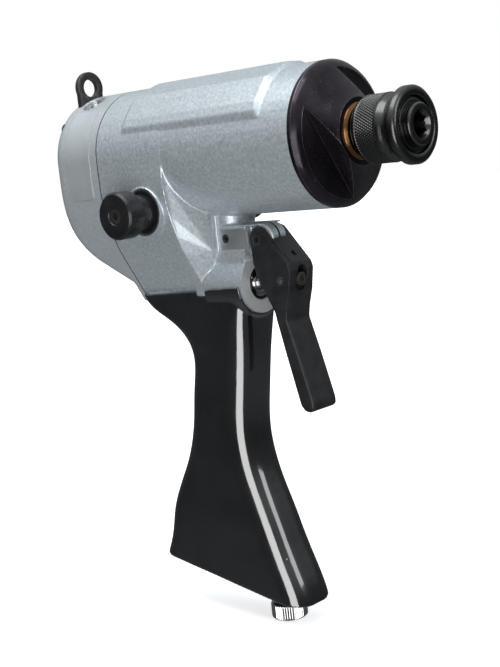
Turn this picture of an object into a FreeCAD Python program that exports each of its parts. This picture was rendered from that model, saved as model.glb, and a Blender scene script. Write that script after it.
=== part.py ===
import FreeCAD, Part
import math
import os
import re
import Sketcher
from FreeCAD import Placement, Rotation, Vector

# Hand-held hydraulic impact drill/driver with a pistol grip and a quick-change hex chuck.
# Frame: origin on the spindle axis, in the joint face between the barrel and the nose cover.
# +X runs forward along the spindle, +Z is up, +Y is the tool's left. Millimetres.

DIMENSIONS = {
    # barrel casting
    "barrel_length": 142, "barrel_radius": 38.2, "barrel_front_radius": 37.5,
    "chamber_radius": 31, "chamber_depth": 98, "nose_thread_radius": 33, "nose_thread_length": 14,
    "pad_radius": 40, "pad_rear": 123, "pad_front": 18.5, "pad_ramp": 5,
    # fits: sliding pieces, running shafts, and how far cast pieces sink into each other
    "slide_gap": 0.05, "shaft_gap": 0.3, "casting_overlap": 5,
    # neck, a teardrop seen from behind
    "neck_front": 91, "neck_straight": 12, "neck_bend_radius": 90.6, "neck_bend_angle": 30,
    "neck_bottom": 84, "neck_hidden": 4,
    "block_front": 53, "block_half_width": 12, "block_top": 30, "block_bottom": 70,
    "block_nose_bottom": 43.5, "lug_front": 61,
    "rib_front": 80, "rib_half_width": 16.5, "rib_top": 33, "rib_bottom": 55.5,
    "side_pad_rear": 77, "side_pad_front": 60, "side_pad_top": 44.5, "side_pad_bottom": 55.5,
    "side_pad_step": 0.8, "pad_screw_x": -72.9, "pad_screw_z": -49.5, "pad_screw_radius": 2.5,
    # rear cap
    "cap_length": 41.6, "cap_round": 10, "gasket_thickness": 0.8, "gasket_inset": 0.25,
    "cap_shoulder_level": 28, "cap_bend_radius": 40, "cap_bend_angle": 52,
    "band_rear": 169, "band_front": 149, "band_top": 29, "band_bottom": 21, "band_thickness": 0.35,
    "screw_radius": 2.5, "screw_hole_radius": 2.8, "screw_head_radius": 4.3, "screw_sink_radius": 4.6,
    "screw_sink_depth": 9, "screw_socket": 4, "gallery_radius": 9, "gallery_wall": 12,
    "plug_x": -163, "plug_tilt": 27, "plug_radius": 5.9, "plug_level": 31.9, "plug_thickness": 3.6,
    "plug_recess_radius": 6.9, "plug_recess_level": 35.4,
    # gear motor
    "gear_teeth": 12, "gear_module": 2, "gear_width": 16.8, "gear_end_gap": 0.2, "gear_pocket_radius": 14.08,
    "gear_shaft_radius": 7, "gear_bore": 5, "journal_length": 10.9, "idler_shaft_radius": 5,
    "motor_shaft_radius": 8, "wear_plate_radius": 15.4, "wear_plate_thickness": 3,
    "key_start": 3, "key_level": 3, "key_length": 10, "key_width": 3, "key_height": 3.4,
    "motor_port_x": -133, "motor_port_radius": 3,
    # impact mechanism
    "bearing_radius": 21, "bearing_bore": 10, "bearing_width": 9, "seal_radius": 13, "seal_width": 7,
    "cam_radius": 13, "cam_flange_radius": 26, "cam_flange_width": 4,
    "race_radius": 3.55, "race_circle": 14.3, "race_place": 43.6,
    "hammer_radius": 28, "hammer_rear": 62, "hammer_front": 24, "dog_length": 8, "dog_width": 18,
    "spring_room_inside": 17.5, "spring_room_outside": 25.5, "spring_room_front": 49,
    "hammer_spring_radius": 21.5, "hammer_spring_wire": 2.2,
    "pilot_radius": 6, "pilot_front": 11,
    "anvil_wing_radius": 26, "wing_rear": 23.7, "wing_front": 15.7, "wing_width": 14,
    "anvil_radius": 10.6, "anvil_front": 53.6, "thrust_washer_front": 14.1, "thrust_washer_radius": 24,
    "bush_radius": 14.6, "hex_across_flats": 11.3, "socket_depth": 36, "socket_mouth_radius": 7.25,
    "socket_mouth_depth": 3,
    # nose cover
    "nose_wall": 4, "nose_room_radius": 29.5, "nose_collar_room": 26, "nose_rim": 2.2,
    "cone_rear": 4.6, "cone_rear_radius": 35.9, "cone_front": 15.3, "cone_front_radius": 18.6,
    "collar_front": 16.6, "collar_radius": 17.2, "bush_front": 18.8, "bush_chamfer": 1.6,
    "wrench_flat_angle": 34, "wrench_flat_rear": 6.2, "wrench_flat_level": 16.6,
    # chuck
    "sleeve_rear": 21, "sleeve_front": 50.6, "sleeve_bore": 13, "knurl_radius": 17.2, "flange_radius": 19.1,
    "sleeve_mouth_radius": 14.2, "ball_place": 33.4, "ball_radius": 2.5, "ball_level": 7.2,
    "stop_groove": 29.4, "retaining_groove": 48.2, "groove_width": 1.5, "groove_radius": 9.8,
    "stop_ring_radius": 12.6, "retaining_ring_radius": 12.9, "chuck_washer_rear": 46.6,
    "chuck_washer_radius": 13.9, "chuck_spring_radius": 12.4, "chuck_spring_wire": 0.9,
    # reversing spool, square across the neck
    "spool_x": -108.2, "spool_z": -30.5, "spool_radius": 8, "spool_waist_radius": 5.2, "spool_end_radius": 5,
    "spool_land_outside": 14, "spool_land_inside": 4, "spool_end_length": 7, "spool_stem_radius": 10,
    "spool_boss_radius": 13.2, "spool_boss_face": 38.8, "spool_bush_radius": 11.8, "spool_bush_depth": 27,
    "spool_bush_sink": 0.5, "knob_radius": 13, "knob_thickness": 11, "knob_stem": 11,
    "knob_screw_radius": 2, "knob_screw_head_radius": 4.3,
    # trigger
    "pivot_x": -52.9, "pivot_z": -51.1, "pivot_radius": 3, "pivot_bore": 1.6,
    "cross_pin_x": -38.9, "cross_pin_z": -73.8, "cross_pin_radius": 2.5, "cross_nut_radius": 3.6,
    "cheek_inside": 6, "cheek_outside": 10, "cheek_round": 2.6, "bar_round": 2,
    "kidney_radius": 4.3, "kidney_top": -70.5, "kidney_bottom": -76, "kidney_shift": 1.2,
    "lug_radius": 8.5, "lug_half_width": 5.8, "lug_slot_width": 1.4,
    "adjuster_radius": 2.6, "adjuster_rear": -45.4, "adjuster_head": -34.2, "adjuster_head_radius": 3.6,
    # throttle valve
    "valve_z": -75.4, "valve_front": 61, "valve_boss_rear": 97, "valve_boss_radius": 16.9, "valve_bore": 9.4,
    "valve_floor": 117, "liner_bore": 7, "throttle_stem_radius": 4.5, "throttle_waist_radius": 4,
    "throttle_face": 48.1, "gland_rear": 66.1, "gland_seat": 64.2, "gland_front": 62.4, "wiper_radius": 7.6,
    # handle
    "grip_thickness": 1.8, "grip_wrap_rear": 89, "grip_wrap_front": 62,
    "grip_top_z": -77.55, "grip_top_x": -101, "grip_top_tilt": 2.9,
    "foot_x": -111, "foot_z": -245.8, "foot_tilt": 10.5,
    "port_radius": 8.7, "port_depth": 17, "port_rear_x": -131, "port_front_x": -103,
    "passage_radius": 4.6, "waist_level": -165, "spool_passage_radius": 3.2,
    "control_x": -67, "control_rear": 80, "control_front": 54, "control_half_width": 12.6,
    "control_bottom": 253.8, "control_top": 241, "control_round": 5,
    "control_screw_radius": 1.6, "control_screw_head_radius": 2.9,
    "control_knob_radius": 10.4, "control_knob_bottom": 269.5, "control_knob_top": 259.8,
    "control_stem_radius": 4, "control_stem_top": -243.7, "needle_radius": 3, "needle_seat": -218,
    "needle_tip": -212,
    # lifting eye
    "eye_x": -175, "eye_y": -10.6, "eye_z": 43.5, "eye_radius": 9.4, "eye_hole_radius": 5.1,
    "eye_thickness": 3.4, "eye_foot": 30.5, "eye_pin_radius": 1.5,
}

# Handle sections from the top down: level, rear edge, front edge, half width, corner radius.
GRIP_SECTIONS = [
    (-70, -145.5, -61.0, 16.6, 9.0),
    (-80, -145.5, -62.0, 16.6, 9.0),
    (-88, -139.0, -63.0, 16.6, 9.5),
    (-97, -124.5, -64.5, 16.5, 10.5),
    (-110, -114.0, -66.5, 16.2, 12.0),
    (-135, -115.6, -70.5, 16.0, 13.0),
    (-160, -120.6, -73.6, 16.0, 13.0),
    (-184, -130.2, -70.2, 16.2, 13.0),
    (-208, -143.0, -61.6, 16.6, 13.0),
    (-232, -150.2, -53.0, 17.0, 13.0),
    (-262, -154.0, -45.0, 17.4, 13.0),
]

# Screw places: (y, z) behind the cap, and (x, y) under the flow-control block.
CAP_SCREWS = [(26, 20), (-26, 20), (25, -38), (-25, -38)]
CONTROL_SCREWS = [(-76.5, 9), (-76.5, -9), (-57.5, 9), (-57.5, -9)]

# How far a cutter runs past the face it opens, and a length that passes the whole tool.
PAST = 1
THROUGH = 400

doc = FreeCAD.newDocument("impact_driver")
dims = doc.addObject("Spreadsheet::Sheet", "dims")
for row, (alias, number) in enumerate(DIMENSIONS.items(), start=1):
    dims.set(f"A{row}", alias)
    dims.set(f"B{row}", str(number))
    dims.setAlias(f"B{row}", alias)
doc.recompute()

ALONG = {
    "x": Rotation(Vector(0, 1, 0), 90),
    "y": Rotation(Vector(1, 0, 0), -90),
    "z": Rotation(),
}
TURNED = {
    "x": Rotation(),
    "y": Rotation(Vector(0, 0, 1), 90),
    "z": Rotation(Vector(0, 1, 0), -90),
}
nodes = []


def size(alias):
    """A driving dimension as a number."""
    return float(dims.get(alias))


def bound(text):
    """An expression in which each dimension is read from its cell."""
    def cell(word):
        return "dims." + word.group() if word.group() in DIMENSIONS else word.group()
    return re.sub(r"[a-z][a-z_]+", cell, str(text))


def place(thing, position=(0, 0, 0), turn=None):
    """Puts a feature where three expressions say."""
    thing.Placement = Placement(Vector(), turn or Rotation())
    for axis, text in zip("xyz", position):
        thing.setExpression("Placement.Base." + axis, bound(text))
    return thing


def node(thing, label):
    """Marks a finished sub-part and names it."""
    thing.Label = label
    nodes.append(thing)
    return thing


def rod(name, radius, length, start=(0, 0, 0), along="x"):
    """A round bar that starts at a point and runs along an axis."""
    bar = doc.addObject("Part::Cylinder", name)
    bar.setExpression("Radius", bound(radius))
    bar.setExpression("Height", bound(length))
    return place(bar, start, ALONG[along])


def block(name, low, lengths):
    """A rectangular block from its lowest corner."""
    box = doc.addObject("Part::Box", name)
    for side, text in zip(("Length", "Width", "Height"), lengths):
        box.setExpression(side, bound(text))
    return place(box, low)


def ball(name, radius, centre):
    sphere = doc.addObject("Part::Sphere", name)
    sphere.setExpression("Radius", bound(radius))
    return place(sphere, centre)


def fuse(name, pieces):
    joined = doc.addObject("Part::MultiFuse", name)
    joined.Shapes = pieces
    return joined


def common(name, pieces):
    shared = doc.addObject("Part::MultiCommon", name)
    shared.Shapes = pieces
    return shared


def cut(name, base, tools):
    rest = doc.addObject("Part::Cut", name)
    rest.Base = base
    rest.Tool = tools[0] if len(tools) == 1 else fuse(name + "_tools", tools)
    return rest


def group(name, pieces):
    """Separate solids kept in one sub-part."""
    compound = doc.addObject("Part::Compound", name)
    compound.Links = pieces
    return compound


def fixed_shape(name, shape):
    """A sub-part whose shape has no feature of its own kind."""
    feature = doc.addObject("Part::Feature", name)
    feature.Shape = shape
    return feature


def outline(body, plane, points):
    """A closed sketch whose corners are held by two expressions each."""
    origin = [item for item in body.Origin.OriginFeatures if item.Role == plane][0]
    sketch = body.newObject("Sketcher::SketchObject", body.Name + "_outline")
    sketch.AttachmentSupport = (origin, [""])
    sketch.MapMode = "FlatFace"
    count = len(points)
    step = 2 * math.pi / count
    rough = [Vector(math.cos(step * i), math.sin(step * i), 0) for i in range(count)]
    for i in range(count):
        sketch.addGeometry(Part.LineSegment(rough[i], rough[(i + 1) % count]), False)
    for i in range(count):
        sketch.addConstraint(Sketcher.Constraint("Coincident", i, 2, (i + 1) % count, 1))
    for i, corner in enumerate(points):
        for kind, axis, text in zip(("DistanceX", "DistanceY"), (-2, -1), corner):
            if str(text) == "0":
                sketch.addConstraint(Sketcher.Constraint("PointOnObject", i, 1, axis))
                continue
            start = rough[i].x if kind == "DistanceX" else rough[i].y
            held = sketch.addConstraint(Sketcher.Constraint(kind, -1, 1, i, 1, start or 0.01))
            sketch.setExpression(f"Constraints[{held}]", bound(text))
    return sketch


def turned(name, profile, along="x", position=(0, 0, 0)):
    """A lathe-made solid: profile holds (place on the axis, radius) expressions."""
    body = doc.addObject("PartDesign::Body", name)
    sketch = outline(body, "XY_Plane", profile)
    spin = body.newObject("PartDesign::Revolution", name + "_turn")
    spin.Profile = sketch
    spin.ReferenceAxis = (sketch, ["H_Axis"])
    spin.Angle = 360
    return place(body, position, TURNED[along])


def ring(name, start, end, inner, outer, along="x", position=(0, 0, 0)):
    return turned(name, [(start, inner), (start, outer), (end, outer), (end, inner)], along, position)


def plate(name, corners, half_width, rounding=None, corner_test=None):
    """A plate cut to an (x, z) outline, centred across the tool, with rounded upright corners."""
    body = doc.addObject("PartDesign::Body", name)
    sketch = outline(body, "XZ_Plane", corners)
    pad = body.newObject("PartDesign::Pad", name + "_pad")
    pad.Profile = sketch
    pad.Midplane = True
    pad.setExpression("Length", bound(f"2 * ({half_width})"))
    if rounding:
        doc.recompute()
        edges = [f"Edge{i}" for i, edge in enumerate(pad.Shape.Edges, start=1)
                 if abs(edge.tangentAt(edge.FirstParameter).y) > 0.99
                 and (corner_test is None or corner_test(edge.Vertexes[0].Point))]
        soft = body.newObject("PartDesign::Fillet", name + "_round")
        soft.Base = (pad, edges)
        soft.setExpression("Radius", bound(rounding))
    return body


def washer(name, rear, front, inner, outer):
    """A flat ring on the spindle axis."""
    return node(ring(name, rear, front, inner, outer), name)


def coil(name, centre_radius, wire_radius, start, length, pitch):
    """A wire wound on a helix about the X axis."""
    helix = doc.addObject("Part::Helix", name + "_helix")
    helix.setExpression("Radius", bound(centre_radius))
    helix.setExpression("Height", bound(length))
    helix.setExpression("Pitch", bound(pitch))
    wire = doc.addObject("Part::Circle", name + "_wire")
    wire.setExpression("Radius", bound(wire_radius))
    place(wire, (centre_radius, 0, 0), Rotation(Vector(1, 0, 0), 90))
    sweep = doc.addObject("Part::Sweep", name)
    sweep.Sections = [wire]
    sweep.Spine = (helix, ["Edge1"])
    sweep.Solid = True
    sweep.Frenet = True
    return place(sweep, start, ALONG["x"])


def hex_bar(name, across_flats, length, start, along):
    """A hexagonal prism, used to cut sockets."""
    prism = doc.addObject("Part::Prism", name)
    prism.Polygon = 6
    prism.setExpression("Circumradius", bound(f"({across_flats}) / 2 / cos(30)"))
    prism.setExpression("Height", bound(length))
    return place(prism, start, ALONG[along])


# ---------------------------------------------------------------- neck and cap outlines

def teardrop(start, end, inset=0.0):
    """The neck's cross-section, a circle that runs down into a wedge, extruded along X."""
    radius = size("barrel_radius") - inset
    bend = size("neck_bend_radius") - inset
    angle = math.radians(size("neck_bend_angle"))
    side = -size("neck_straight")
    end_y = radius - bend * (1 - math.cos(angle))
    end_z = side - bend * math.sin(angle)
    bottom = -size("neck_bottom") + inset
    bottom_y = end_y - (end_z - bottom) * math.tan(angle)
    mid_y = radius - bend * (1 - math.cos(angle / 2))
    mid_z = side - bend * math.sin(angle / 2)

    def point(y, z):
        return Vector(start, y, z)

    edges = [
        Part.Arc(point(radius, 0), point(0, radius), point(-radius, 0)).toShape(),
        Part.makeLine(point(-radius, 0), point(-radius, side)),
        Part.Arc(point(-radius, side), point(-mid_y, mid_z), point(-end_y, end_z)).toShape(),
        Part.makeLine(point(-end_y, end_z), point(-bottom_y, bottom)),
        Part.makeLine(point(-bottom_y, bottom), point(bottom_y, bottom)),
        Part.makeLine(point(bottom_y, bottom), point(end_y, end_z)),
        Part.Arc(point(end_y, end_z), point(mid_y, mid_z), point(radius, side)).toShape(),
        Part.makeLine(point(radius, side), point(radius, 0)),
    ]
    return Part.Face(Part.Wire(edges)).extrude(Vector(end - start, 0, 0))


def cap_side(rear, front):
    """The cap's outline seen from the side, extruded right across the tool."""
    reach = 2 * size("barrel_radius")
    level = -size("cap_shoulder_level")
    bend = size("cap_bend_radius")
    angle = math.radians(size("cap_bend_angle"))
    end_x = rear + bend * (1 - math.cos(angle))
    end_z = level - bend * math.sin(angle)
    mid_x = rear + bend * (1 - math.cos(angle / 2))
    mid_z = level - bend * math.sin(angle / 2)
    front_z = end_z - (front - end_x) / math.tan(angle)

    def point(x, z):
        return Vector(x, -reach, z)

    edges = [
        Part.makeLine(point(front, reach), point(rear, reach)),
        Part.makeLine(point(rear, reach), point(rear, level)),
        Part.Arc(point(rear, level), point(mid_x, mid_z), point(end_x, end_z)).toShape(),
        Part.makeLine(point(end_x, end_z), point(front, front_z)),
        Part.makeLine(point(front, front_z), point(front, reach)),
    ]
    return Part.Face(Part.Wire(edges)).extrude(Vector(0, 2 * reach, 0))


def half_space(x, z, tilt, below):
    """Everything below, or above, a plane through (x, z) whose front end is tilted up by an angle."""
    slab = Part.makeBox(2 * THROUGH, 2 * THROUGH, THROUGH)
    slab.translate(Vector(-THROUGH, -THROUGH, -THROUGH if below else 0))
    slab.Placement = Placement(Vector(x, 0, z), Rotation(Vector(0, 1, 0), -tilt)).multiply(slab.Placement)
    return slab


def above_grip():
    return half_space(size("grip_top_x"), size("grip_top_z"), size("grip_top_tilt"), False)


def under_grip_top():
    return half_space(size("grip_top_x"), size("grip_top_z"), size("grip_top_tilt"), True)


def under_foot():
    return half_space(size("foot_x"), size("foot_z"), -size("foot_tilt"), True)


# ---------------------------------------------------------------- handle

def rounded_section(level, rear, front, half_width, corner):
    """A rounded rectangle lying at one level of the handle."""
    inner_rear, inner_front = rear + corner, front - corner
    inner_side = half_width - corner
    centres = [(inner_front, inner_side, 0), (inner_rear, inner_side, 90),
               (inner_rear, -inner_side, 180), (inner_front, -inner_side, 270)]
    arcs = []
    for x, y, start in centres:
        middle = Vector(x, y, level)
        turns = [math.radians(start + turn) for turn in (0, 45, 90)]
        arcs.append([middle + Vector(corner * math.cos(turn), corner * math.sin(turn), 0) for turn in turns])
    edges = []
    for arc, following in zip(arcs, arcs[1:] + arcs[:1]):
        edges.append(Part.Arc(*arc).toShape())
        edges.append(Part.makeLine(arc[2], following[0]))
    return Part.Wire(edges)


def handle_solid(inset):
    """The handle's shape, drawn in from its surface by an inset."""
    wires = [rounded_section(level, rear + inset, front - inset, half_width - inset, corner - inset)
             for level, rear, front, half_width, corner in GRIP_SECTIONS]
    return Part.makeLoft(wires, True, False)


def handle_core():
    """The cast handle inside the grip, from inside the neck down to the foot."""
    front_limit = Part.makeBox(THROUGH, THROUGH, THROUGH, Vector(-size("barrel_length"), -THROUGH / 2, -THROUGH))
    return handle_solid(size("grip_thickness")).cut(above_grip()).cut(under_foot()).common(front_limit)


def control_recess():
    """The space in the foot that the flow-control block fills."""
    low = Vector(-size("control_rear"), -size("control_half_width"), -size("control_top") - THROUGH)
    length = size("control_rear") - size("control_front")
    return Part.makeBox(length, 2 * size("control_half_width"), THROUGH, low)


def boss_cylinder(radius, rear, front):
    """A round bar on the throttle valve's axis."""
    return Part.makeCylinder(radius, rear - front, Vector(-rear, 0, size("valve_z")), Vector(1, 0, 0))


def grip():
    """The dipped vinyl sleeve, which also wraps the underside of the throttle boss."""
    boss = size("valve_boss_radius")
    wrap = boss_cylinder(boss + size("grip_thickness"), size("grip_wrap_rear"), size("grip_wrap_front"))
    hollow = boss_cylinder(boss, size("valve_boss_rear"), size("block_front"))
    shape = handle_solid(0).fuse(wrap).cut(above_grip()).cut(under_foot())
    neck = teardrop(-size("barrel_length"), -size("neck_front"))
    return shape.cut(handle_core()).cut(hollow).cut(neck).cut(control_recess())


def foot_point(x):
    """The point of the foot's sloping face at one x."""
    slope = math.tan(math.radians(size("foot_tilt")))
    return Vector(x, 0, size("foot_z") - (x - size("foot_x")) * slope)


def foot_normal():
    angle = math.radians(size("foot_tilt"))
    return Vector(-math.sin(angle), 0, -math.cos(angle))


def drilling(points, radius):
    """Straight drilled passages that meet at their corners."""
    pieces = []
    for first, last in zip(points, points[1:]):
        run = last - first
        pieces.append(Part.makeCylinder(radius, run.Length, first, run))
        pieces.append(Part.makeSphere(radius, last))
    return pieces[0].fuse(pieces[1:])


def oil_passages():
    """Threaded hose ports in the foot, and the passages up the handle to the throttle valve."""
    past = size("casting_overlap")
    waist_and_top = {"port_rear_x": (-107, -104), "port_front_x": (-88, -84)}
    shapes = []
    for port, (waist_x, top_x) in waist_and_top.items():
        mouth = foot_point(size(port)) + foot_normal() * past
        floor = foot_point(size(port)) - foot_normal() * size("port_depth")
        waist = Vector(waist_x, 0, size("waist_level"))
        top = Vector(top_x, 0, size("valve_z"))
        depth = size("port_depth") + past
        shapes.append(Part.makeCylinder(size("port_radius"), depth, mouth, foot_normal() * -1))
        shapes.append(drilling([floor, waist, top], size("passage_radius")))
    return shapes[0].fuse(shapes[1:])


# ---------------------------------------------------------------- main casting

def top_pads():
    """Faceted raised pads over the top of the barrel, with ramped ends."""
    facets = [(19, 38.0), (24, 39.4), (31.5, 39.5), (47, 39.6), (55, 40), (82, 40)]
    corners = facets + [(180 - angle, radius) for angle, radius in reversed(facets)]
    points = []
    for angle, radius in corners:
        reach = f"pad_radius * {radius / size('pad_radius')}"
        points.append((f"{reach} * cos({angle})", f"{reach} * sin({angle})"))
    body = doc.addObject("PartDesign::Body", "pad_facets")
    pad = body.newObject("PartDesign::Pad", "pad_facets_pad")
    pad.Profile = outline(body, "YZ_Plane", points)
    pad.setExpression("Length", bound("pad_rear - pad_front"))
    place(body, ("-pad_rear", 0, 0))
    ramp = turned("pad_ramps", [
        ("-pad_rear", 0), ("-pad_rear", "barrel_radius - 1"), ("-pad_rear + pad_ramp", "pad_radius + 1"),
        ("-pad_front - pad_ramp", "pad_radius + 1"), ("-pad_front", "barrel_radius - 1"), ("-pad_front", 0)])
    return common("top_pads", [body, ramp])


def neck_block(name, front, half_width, top, bottom):
    """A block that grows forward out of the neck; levels are measured down from the spindle axis."""
    return block(name, ("-neck_front - casting_overlap", f"-({half_width})", f"-{bottom}"),
                 (f"neck_front + casting_overlap - {front}", f"2 * ({half_width})", f"{bottom} - {top}"))


def main_housing():
    """Barrel, neck, throttle boss, trigger lugs and handle core, cast in one piece and bored out."""
    barrel = turned("barrel", [("-barrel_length", 0), ("-barrel_length", "barrel_radius"),
                               (0, "barrel_front_radius"), (0, 0)])
    neck = fixed_shape("neck", teardrop(-size("barrel_length"), -size("neck_front")).cut(under_neck()))
    core = fixed_shape("core", handle_core().cut(control_recess()))
    upper = neck_block("upper_block", "block_front", "block_half_width", "block_top", "block_nose_bottom")
    lower = neck_block("lower_block", "lug_front", "block_half_width", "block_top", "block_bottom")
    rib = neck_block("rib", "rib_front", "rib_half_width", "rib_top", "rib_bottom")
    side_pad = block("side_pad", ("-side_pad_rear", "-block_half_width - side_pad_step", "-side_pad_bottom"),
                     ("side_pad_rear - side_pad_front", "2 * (block_half_width + side_pad_step)",
                      "side_pad_bottom - side_pad_top"))
    boss = rod("valve_boss", "valve_boss_radius", "valve_boss_rear - valve_front",
               ("-valve_boss_rear", 0, "valve_z"))
    spool_boss = rod("spool_boss", "spool_boss_radius", "2 * spool_boss_face",
                     ("spool_x", "-spool_boss_face", "spool_z"), "y")
    lug_eye = rod("lug_eye", "lug_radius", "2 * lug_half_width", ("pivot_x", "-lug_half_width", "pivot_z"), "y")
    lug_arm = block("lug_arm", ("-lug_front - casting_overlap", "-lug_half_width", "pivot_z - lug_radius"),
                    ("lug_front + casting_overlap + pivot_x", "2 * lug_half_width", "2 * lug_radius"))
    casting = fuse("casting", [barrel, top_pads(), neck, core, upper, lower, rib, side_pad, boss, spool_boss,
                               lug_eye, lug_arm])
    return node(cut("main_housing", casting, housing_bores()), "main_housing")


def under_neck():
    """Keeps the neck's wedge inside the grip."""
    top = -size("neck_bottom") + size("neck_hidden")
    return Part.makeBox(THROUGH, THROUGH, THROUGH, Vector(-THROUGH, -THROUGH / 2, top - THROUGH))


def barrel_bores():
    """The impact chamber from the front, the bearing, seal and shaft bores behind it, and the gear pockets."""
    shaft = "motor_shaft_radius + shaft_gap"
    seal_floor = "-chamber_depth - bearing_width - seal_width"
    chamber = turned("chamber", [
        ("-chamber_depth", 0), ("-chamber_depth", "chamber_radius"), ("-nose_thread_length", "chamber_radius"),
        ("-nose_thread_length", "nose_thread_radius"), (PAST, "nose_thread_radius"), (PAST, 0)])
    rear_bores = turned("rear_bores", [
        ("-barrel_length + gear_width", 0), ("-barrel_length + gear_width", shaft), (seal_floor, shaft),
        (seal_floor, "seal_radius"), ("-chamber_depth - bearing_width", "seal_radius"),
        ("-chamber_depth - bearing_width", "bearing_radius"), (f"-chamber_depth + {PAST}", "bearing_radius"),
        (f"-chamber_depth + {PAST}", 0)])
    pockets = [rod(f"gear_pocket_{i}", "gear_pocket_radius", f"gear_width + gear_end_gap + {PAST}",
                   (f"-barrel_length - {PAST}", 0, f"-{i} * gear_module * gear_teeth")) for i in (0, 1)]
    idler_hole = rod("idler_hole", "idler_shaft_radius", 8,
                     (f"-barrel_length + gear_width - {PAST}", 0, "-gear_module * gear_teeth"))
    return [chamber, rear_bores, *pockets, idler_hole]


def valve_bores():
    """The reversing and throttle bores, and the drillings that join them to the motor."""
    bush_face = f"spool_boss_face + {PAST}"
    spool_bore = turned("spool_bore", [
        (f"-({bush_face})", 0), (f"-({bush_face})", "spool_bush_radius"),
        ("-spool_bush_depth", "spool_bush_radius"), ("-spool_bush_depth", "spool_radius + slide_gap"),
        ("spool_bush_depth", "spool_radius + slide_gap"), ("spool_bush_depth", "spool_bush_radius"),
        (bush_face, "spool_bush_radius"), (bush_face, 0)], "y", ("spool_x", 0, "spool_z"))
    valve_bore = rod("valve_bore", "valve_bore", f"valve_floor - valve_front + {PAST}",
                     ("-valve_floor", 0, "valve_z"))
    links = [rod(f"spool_passage_{i}", "spool_passage_radius", 44, ("spool_x", y, "valve_z"), "z")
             for i, y in enumerate((-4.95, 4.95))]
    ports = [rod(f"motor_port_{i}", "motor_port_radius", 32, ("motor_port_x", y, -40), "z")
             for i, y in enumerate((-8, 8))]
    feeds = [rod(f"motor_feed_{i}", "motor_port_radius", 26, ("motor_port_x", y, "spool_z - 4"))
             for i, y in enumerate((-8, 8))]
    return [spool_bore, valve_bore, *links, *ports, *feeds]


def screw_and_pin_holes():
    lug_slot = block("lug_slot",
                     (f"-lug_front - {PAST}", "-lug_slot_width / 2", f"pivot_z - lug_radius - {PAST}"),
                     (20, "lug_slot_width", f"2 * (lug_radius + {PAST})"))
    pivot_hole = rod("pivot_hole", "pivot_radius", 30, ("pivot_x", -15, "pivot_z"), "y")
    pad_hole = rod("pad_hole", "pad_screw_radius", 9,
                   ("pad_screw_x", f"-block_half_width - {PAST}", "pad_screw_z"), "y")
    cap_holes = [rod(f"cap_screw_hole_{i}", "screw_radius", 16, (f"-barrel_length - {PAST}", y, z))
                 for i, (y, z) in enumerate(CAP_SCREWS)]
    under = f"-control_top - {PAST}"
    control_holes = [rod(f"control_screw_hole_{i}", "control_screw_radius", 10, (x, y, under), "z")
                     for i, (x, y) in enumerate(CONTROL_SCREWS)]
    return [lug_slot, pivot_hole, pad_hole, *cap_holes, *control_holes]


def housing_bores():
    bore = size("needle_radius") + size("slide_gap")
    needle_hole = rod("needle_hole", "needle_radius + slide_gap", 34,
                      ("control_x", 0, f"-control_top - {PAST}"), "z")
    slant = drilling([Vector(size("control_x"), 0, -208), Vector(-88, 0, -190)], bore)
    needle_feed = fixed_shape("needle_feed", slant)
    passages = fixed_shape("passages", oil_passages())
    return [*barrel_bores(), *valve_bores(), *screw_and_pin_holes(), needle_hole, needle_feed, passages]


# ---------------------------------------------------------------- rear cap

def rear_cap():
    """Cast cover behind the motor: a teardrop from behind, rounded off to the rear and under."""
    front = -size("barrel_length") - size("gasket_thickness")
    rear = -size("barrel_length") - size("cap_length")
    solid = teardrop(rear, front).common(cap_side(rear, front)).cut(under_grip_top())
    edges = [edge for edge in solid.Edges if max(corner.X for corner in edge.Vertexes) < front - PAST]
    blank = fixed_shape("cap_blank", solid.makeFillet(size("cap_round"), edges))
    galleries = [rod(f"cap_gallery_{i}", "gallery_radius", 28,
                     ("-barrel_length - cap_length + gallery_wall", 0, f"-{i} * gear_module * gear_teeth"))
                 for i in (0, 1)]
    holes = [rod(f"cap_hole_{i}", "screw_hole_radius", 60, (rear - PAST, y, z))
             for i, (y, z) in enumerate(CAP_SCREWS)]
    sinks = [rod(f"cap_sink_{i}", "screw_sink_radius", f"screw_sink_depth + {PAST}", (rear - PAST, y, z))
             for i, (y, z) in enumerate(CAP_SCREWS)]
    pin_hole = rod("eye_pin_hole", "eye_pin_radius", 16, (rear - PAST, "eye_y", "eye_foot + 3"))
    openings = [wear_plate_blank("plate_recess"), *galleries, *holes, *sinks, eye_blank("eye_slot"), pin_hole,
                plug_seat("plug_recess", "plug_recess_radius", "plug_recess_level", 8),
                plug_seat("plug_hole", "plug_radius", "plug_level", 8)]
    return node(cut("rear_cap", blank, openings), "rear_cap")


def plug_seat(name, radius, level, length):
    """A round space in the cap's upper right shoulder, square to a slanting line."""
    cylinder = doc.addObject("Part::Cylinder", name)
    cylinder.setExpression("Radius", bound(radius))
    cylinder.setExpression("Height", bound(length))
    outward = Rotation(Vector(1, 0, 0), size("plug_tilt"))
    centre = outward.multVec(Vector(0, 0, size(level)))
    cylinder.Placement = Placement(centre + Vector(size("plug_x"), 0, 0), outward)
    return cylinder


def eye_blank(name):
    """The lifting eye's plate: a round head on a slightly narrower foot."""
    head = rod(name + "_head", "eye_radius", "eye_thickness", ("eye_x", "eye_y", "eye_z"))
    foot = block(name + "_foot", ("eye_x", "eye_y - eye_radius + 0.6", "eye_foot"),
                 ("eye_thickness", "2 * eye_radius - 1.2", "eye_z - eye_foot - 3"))
    return fuse(name, [head, foot])


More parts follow.
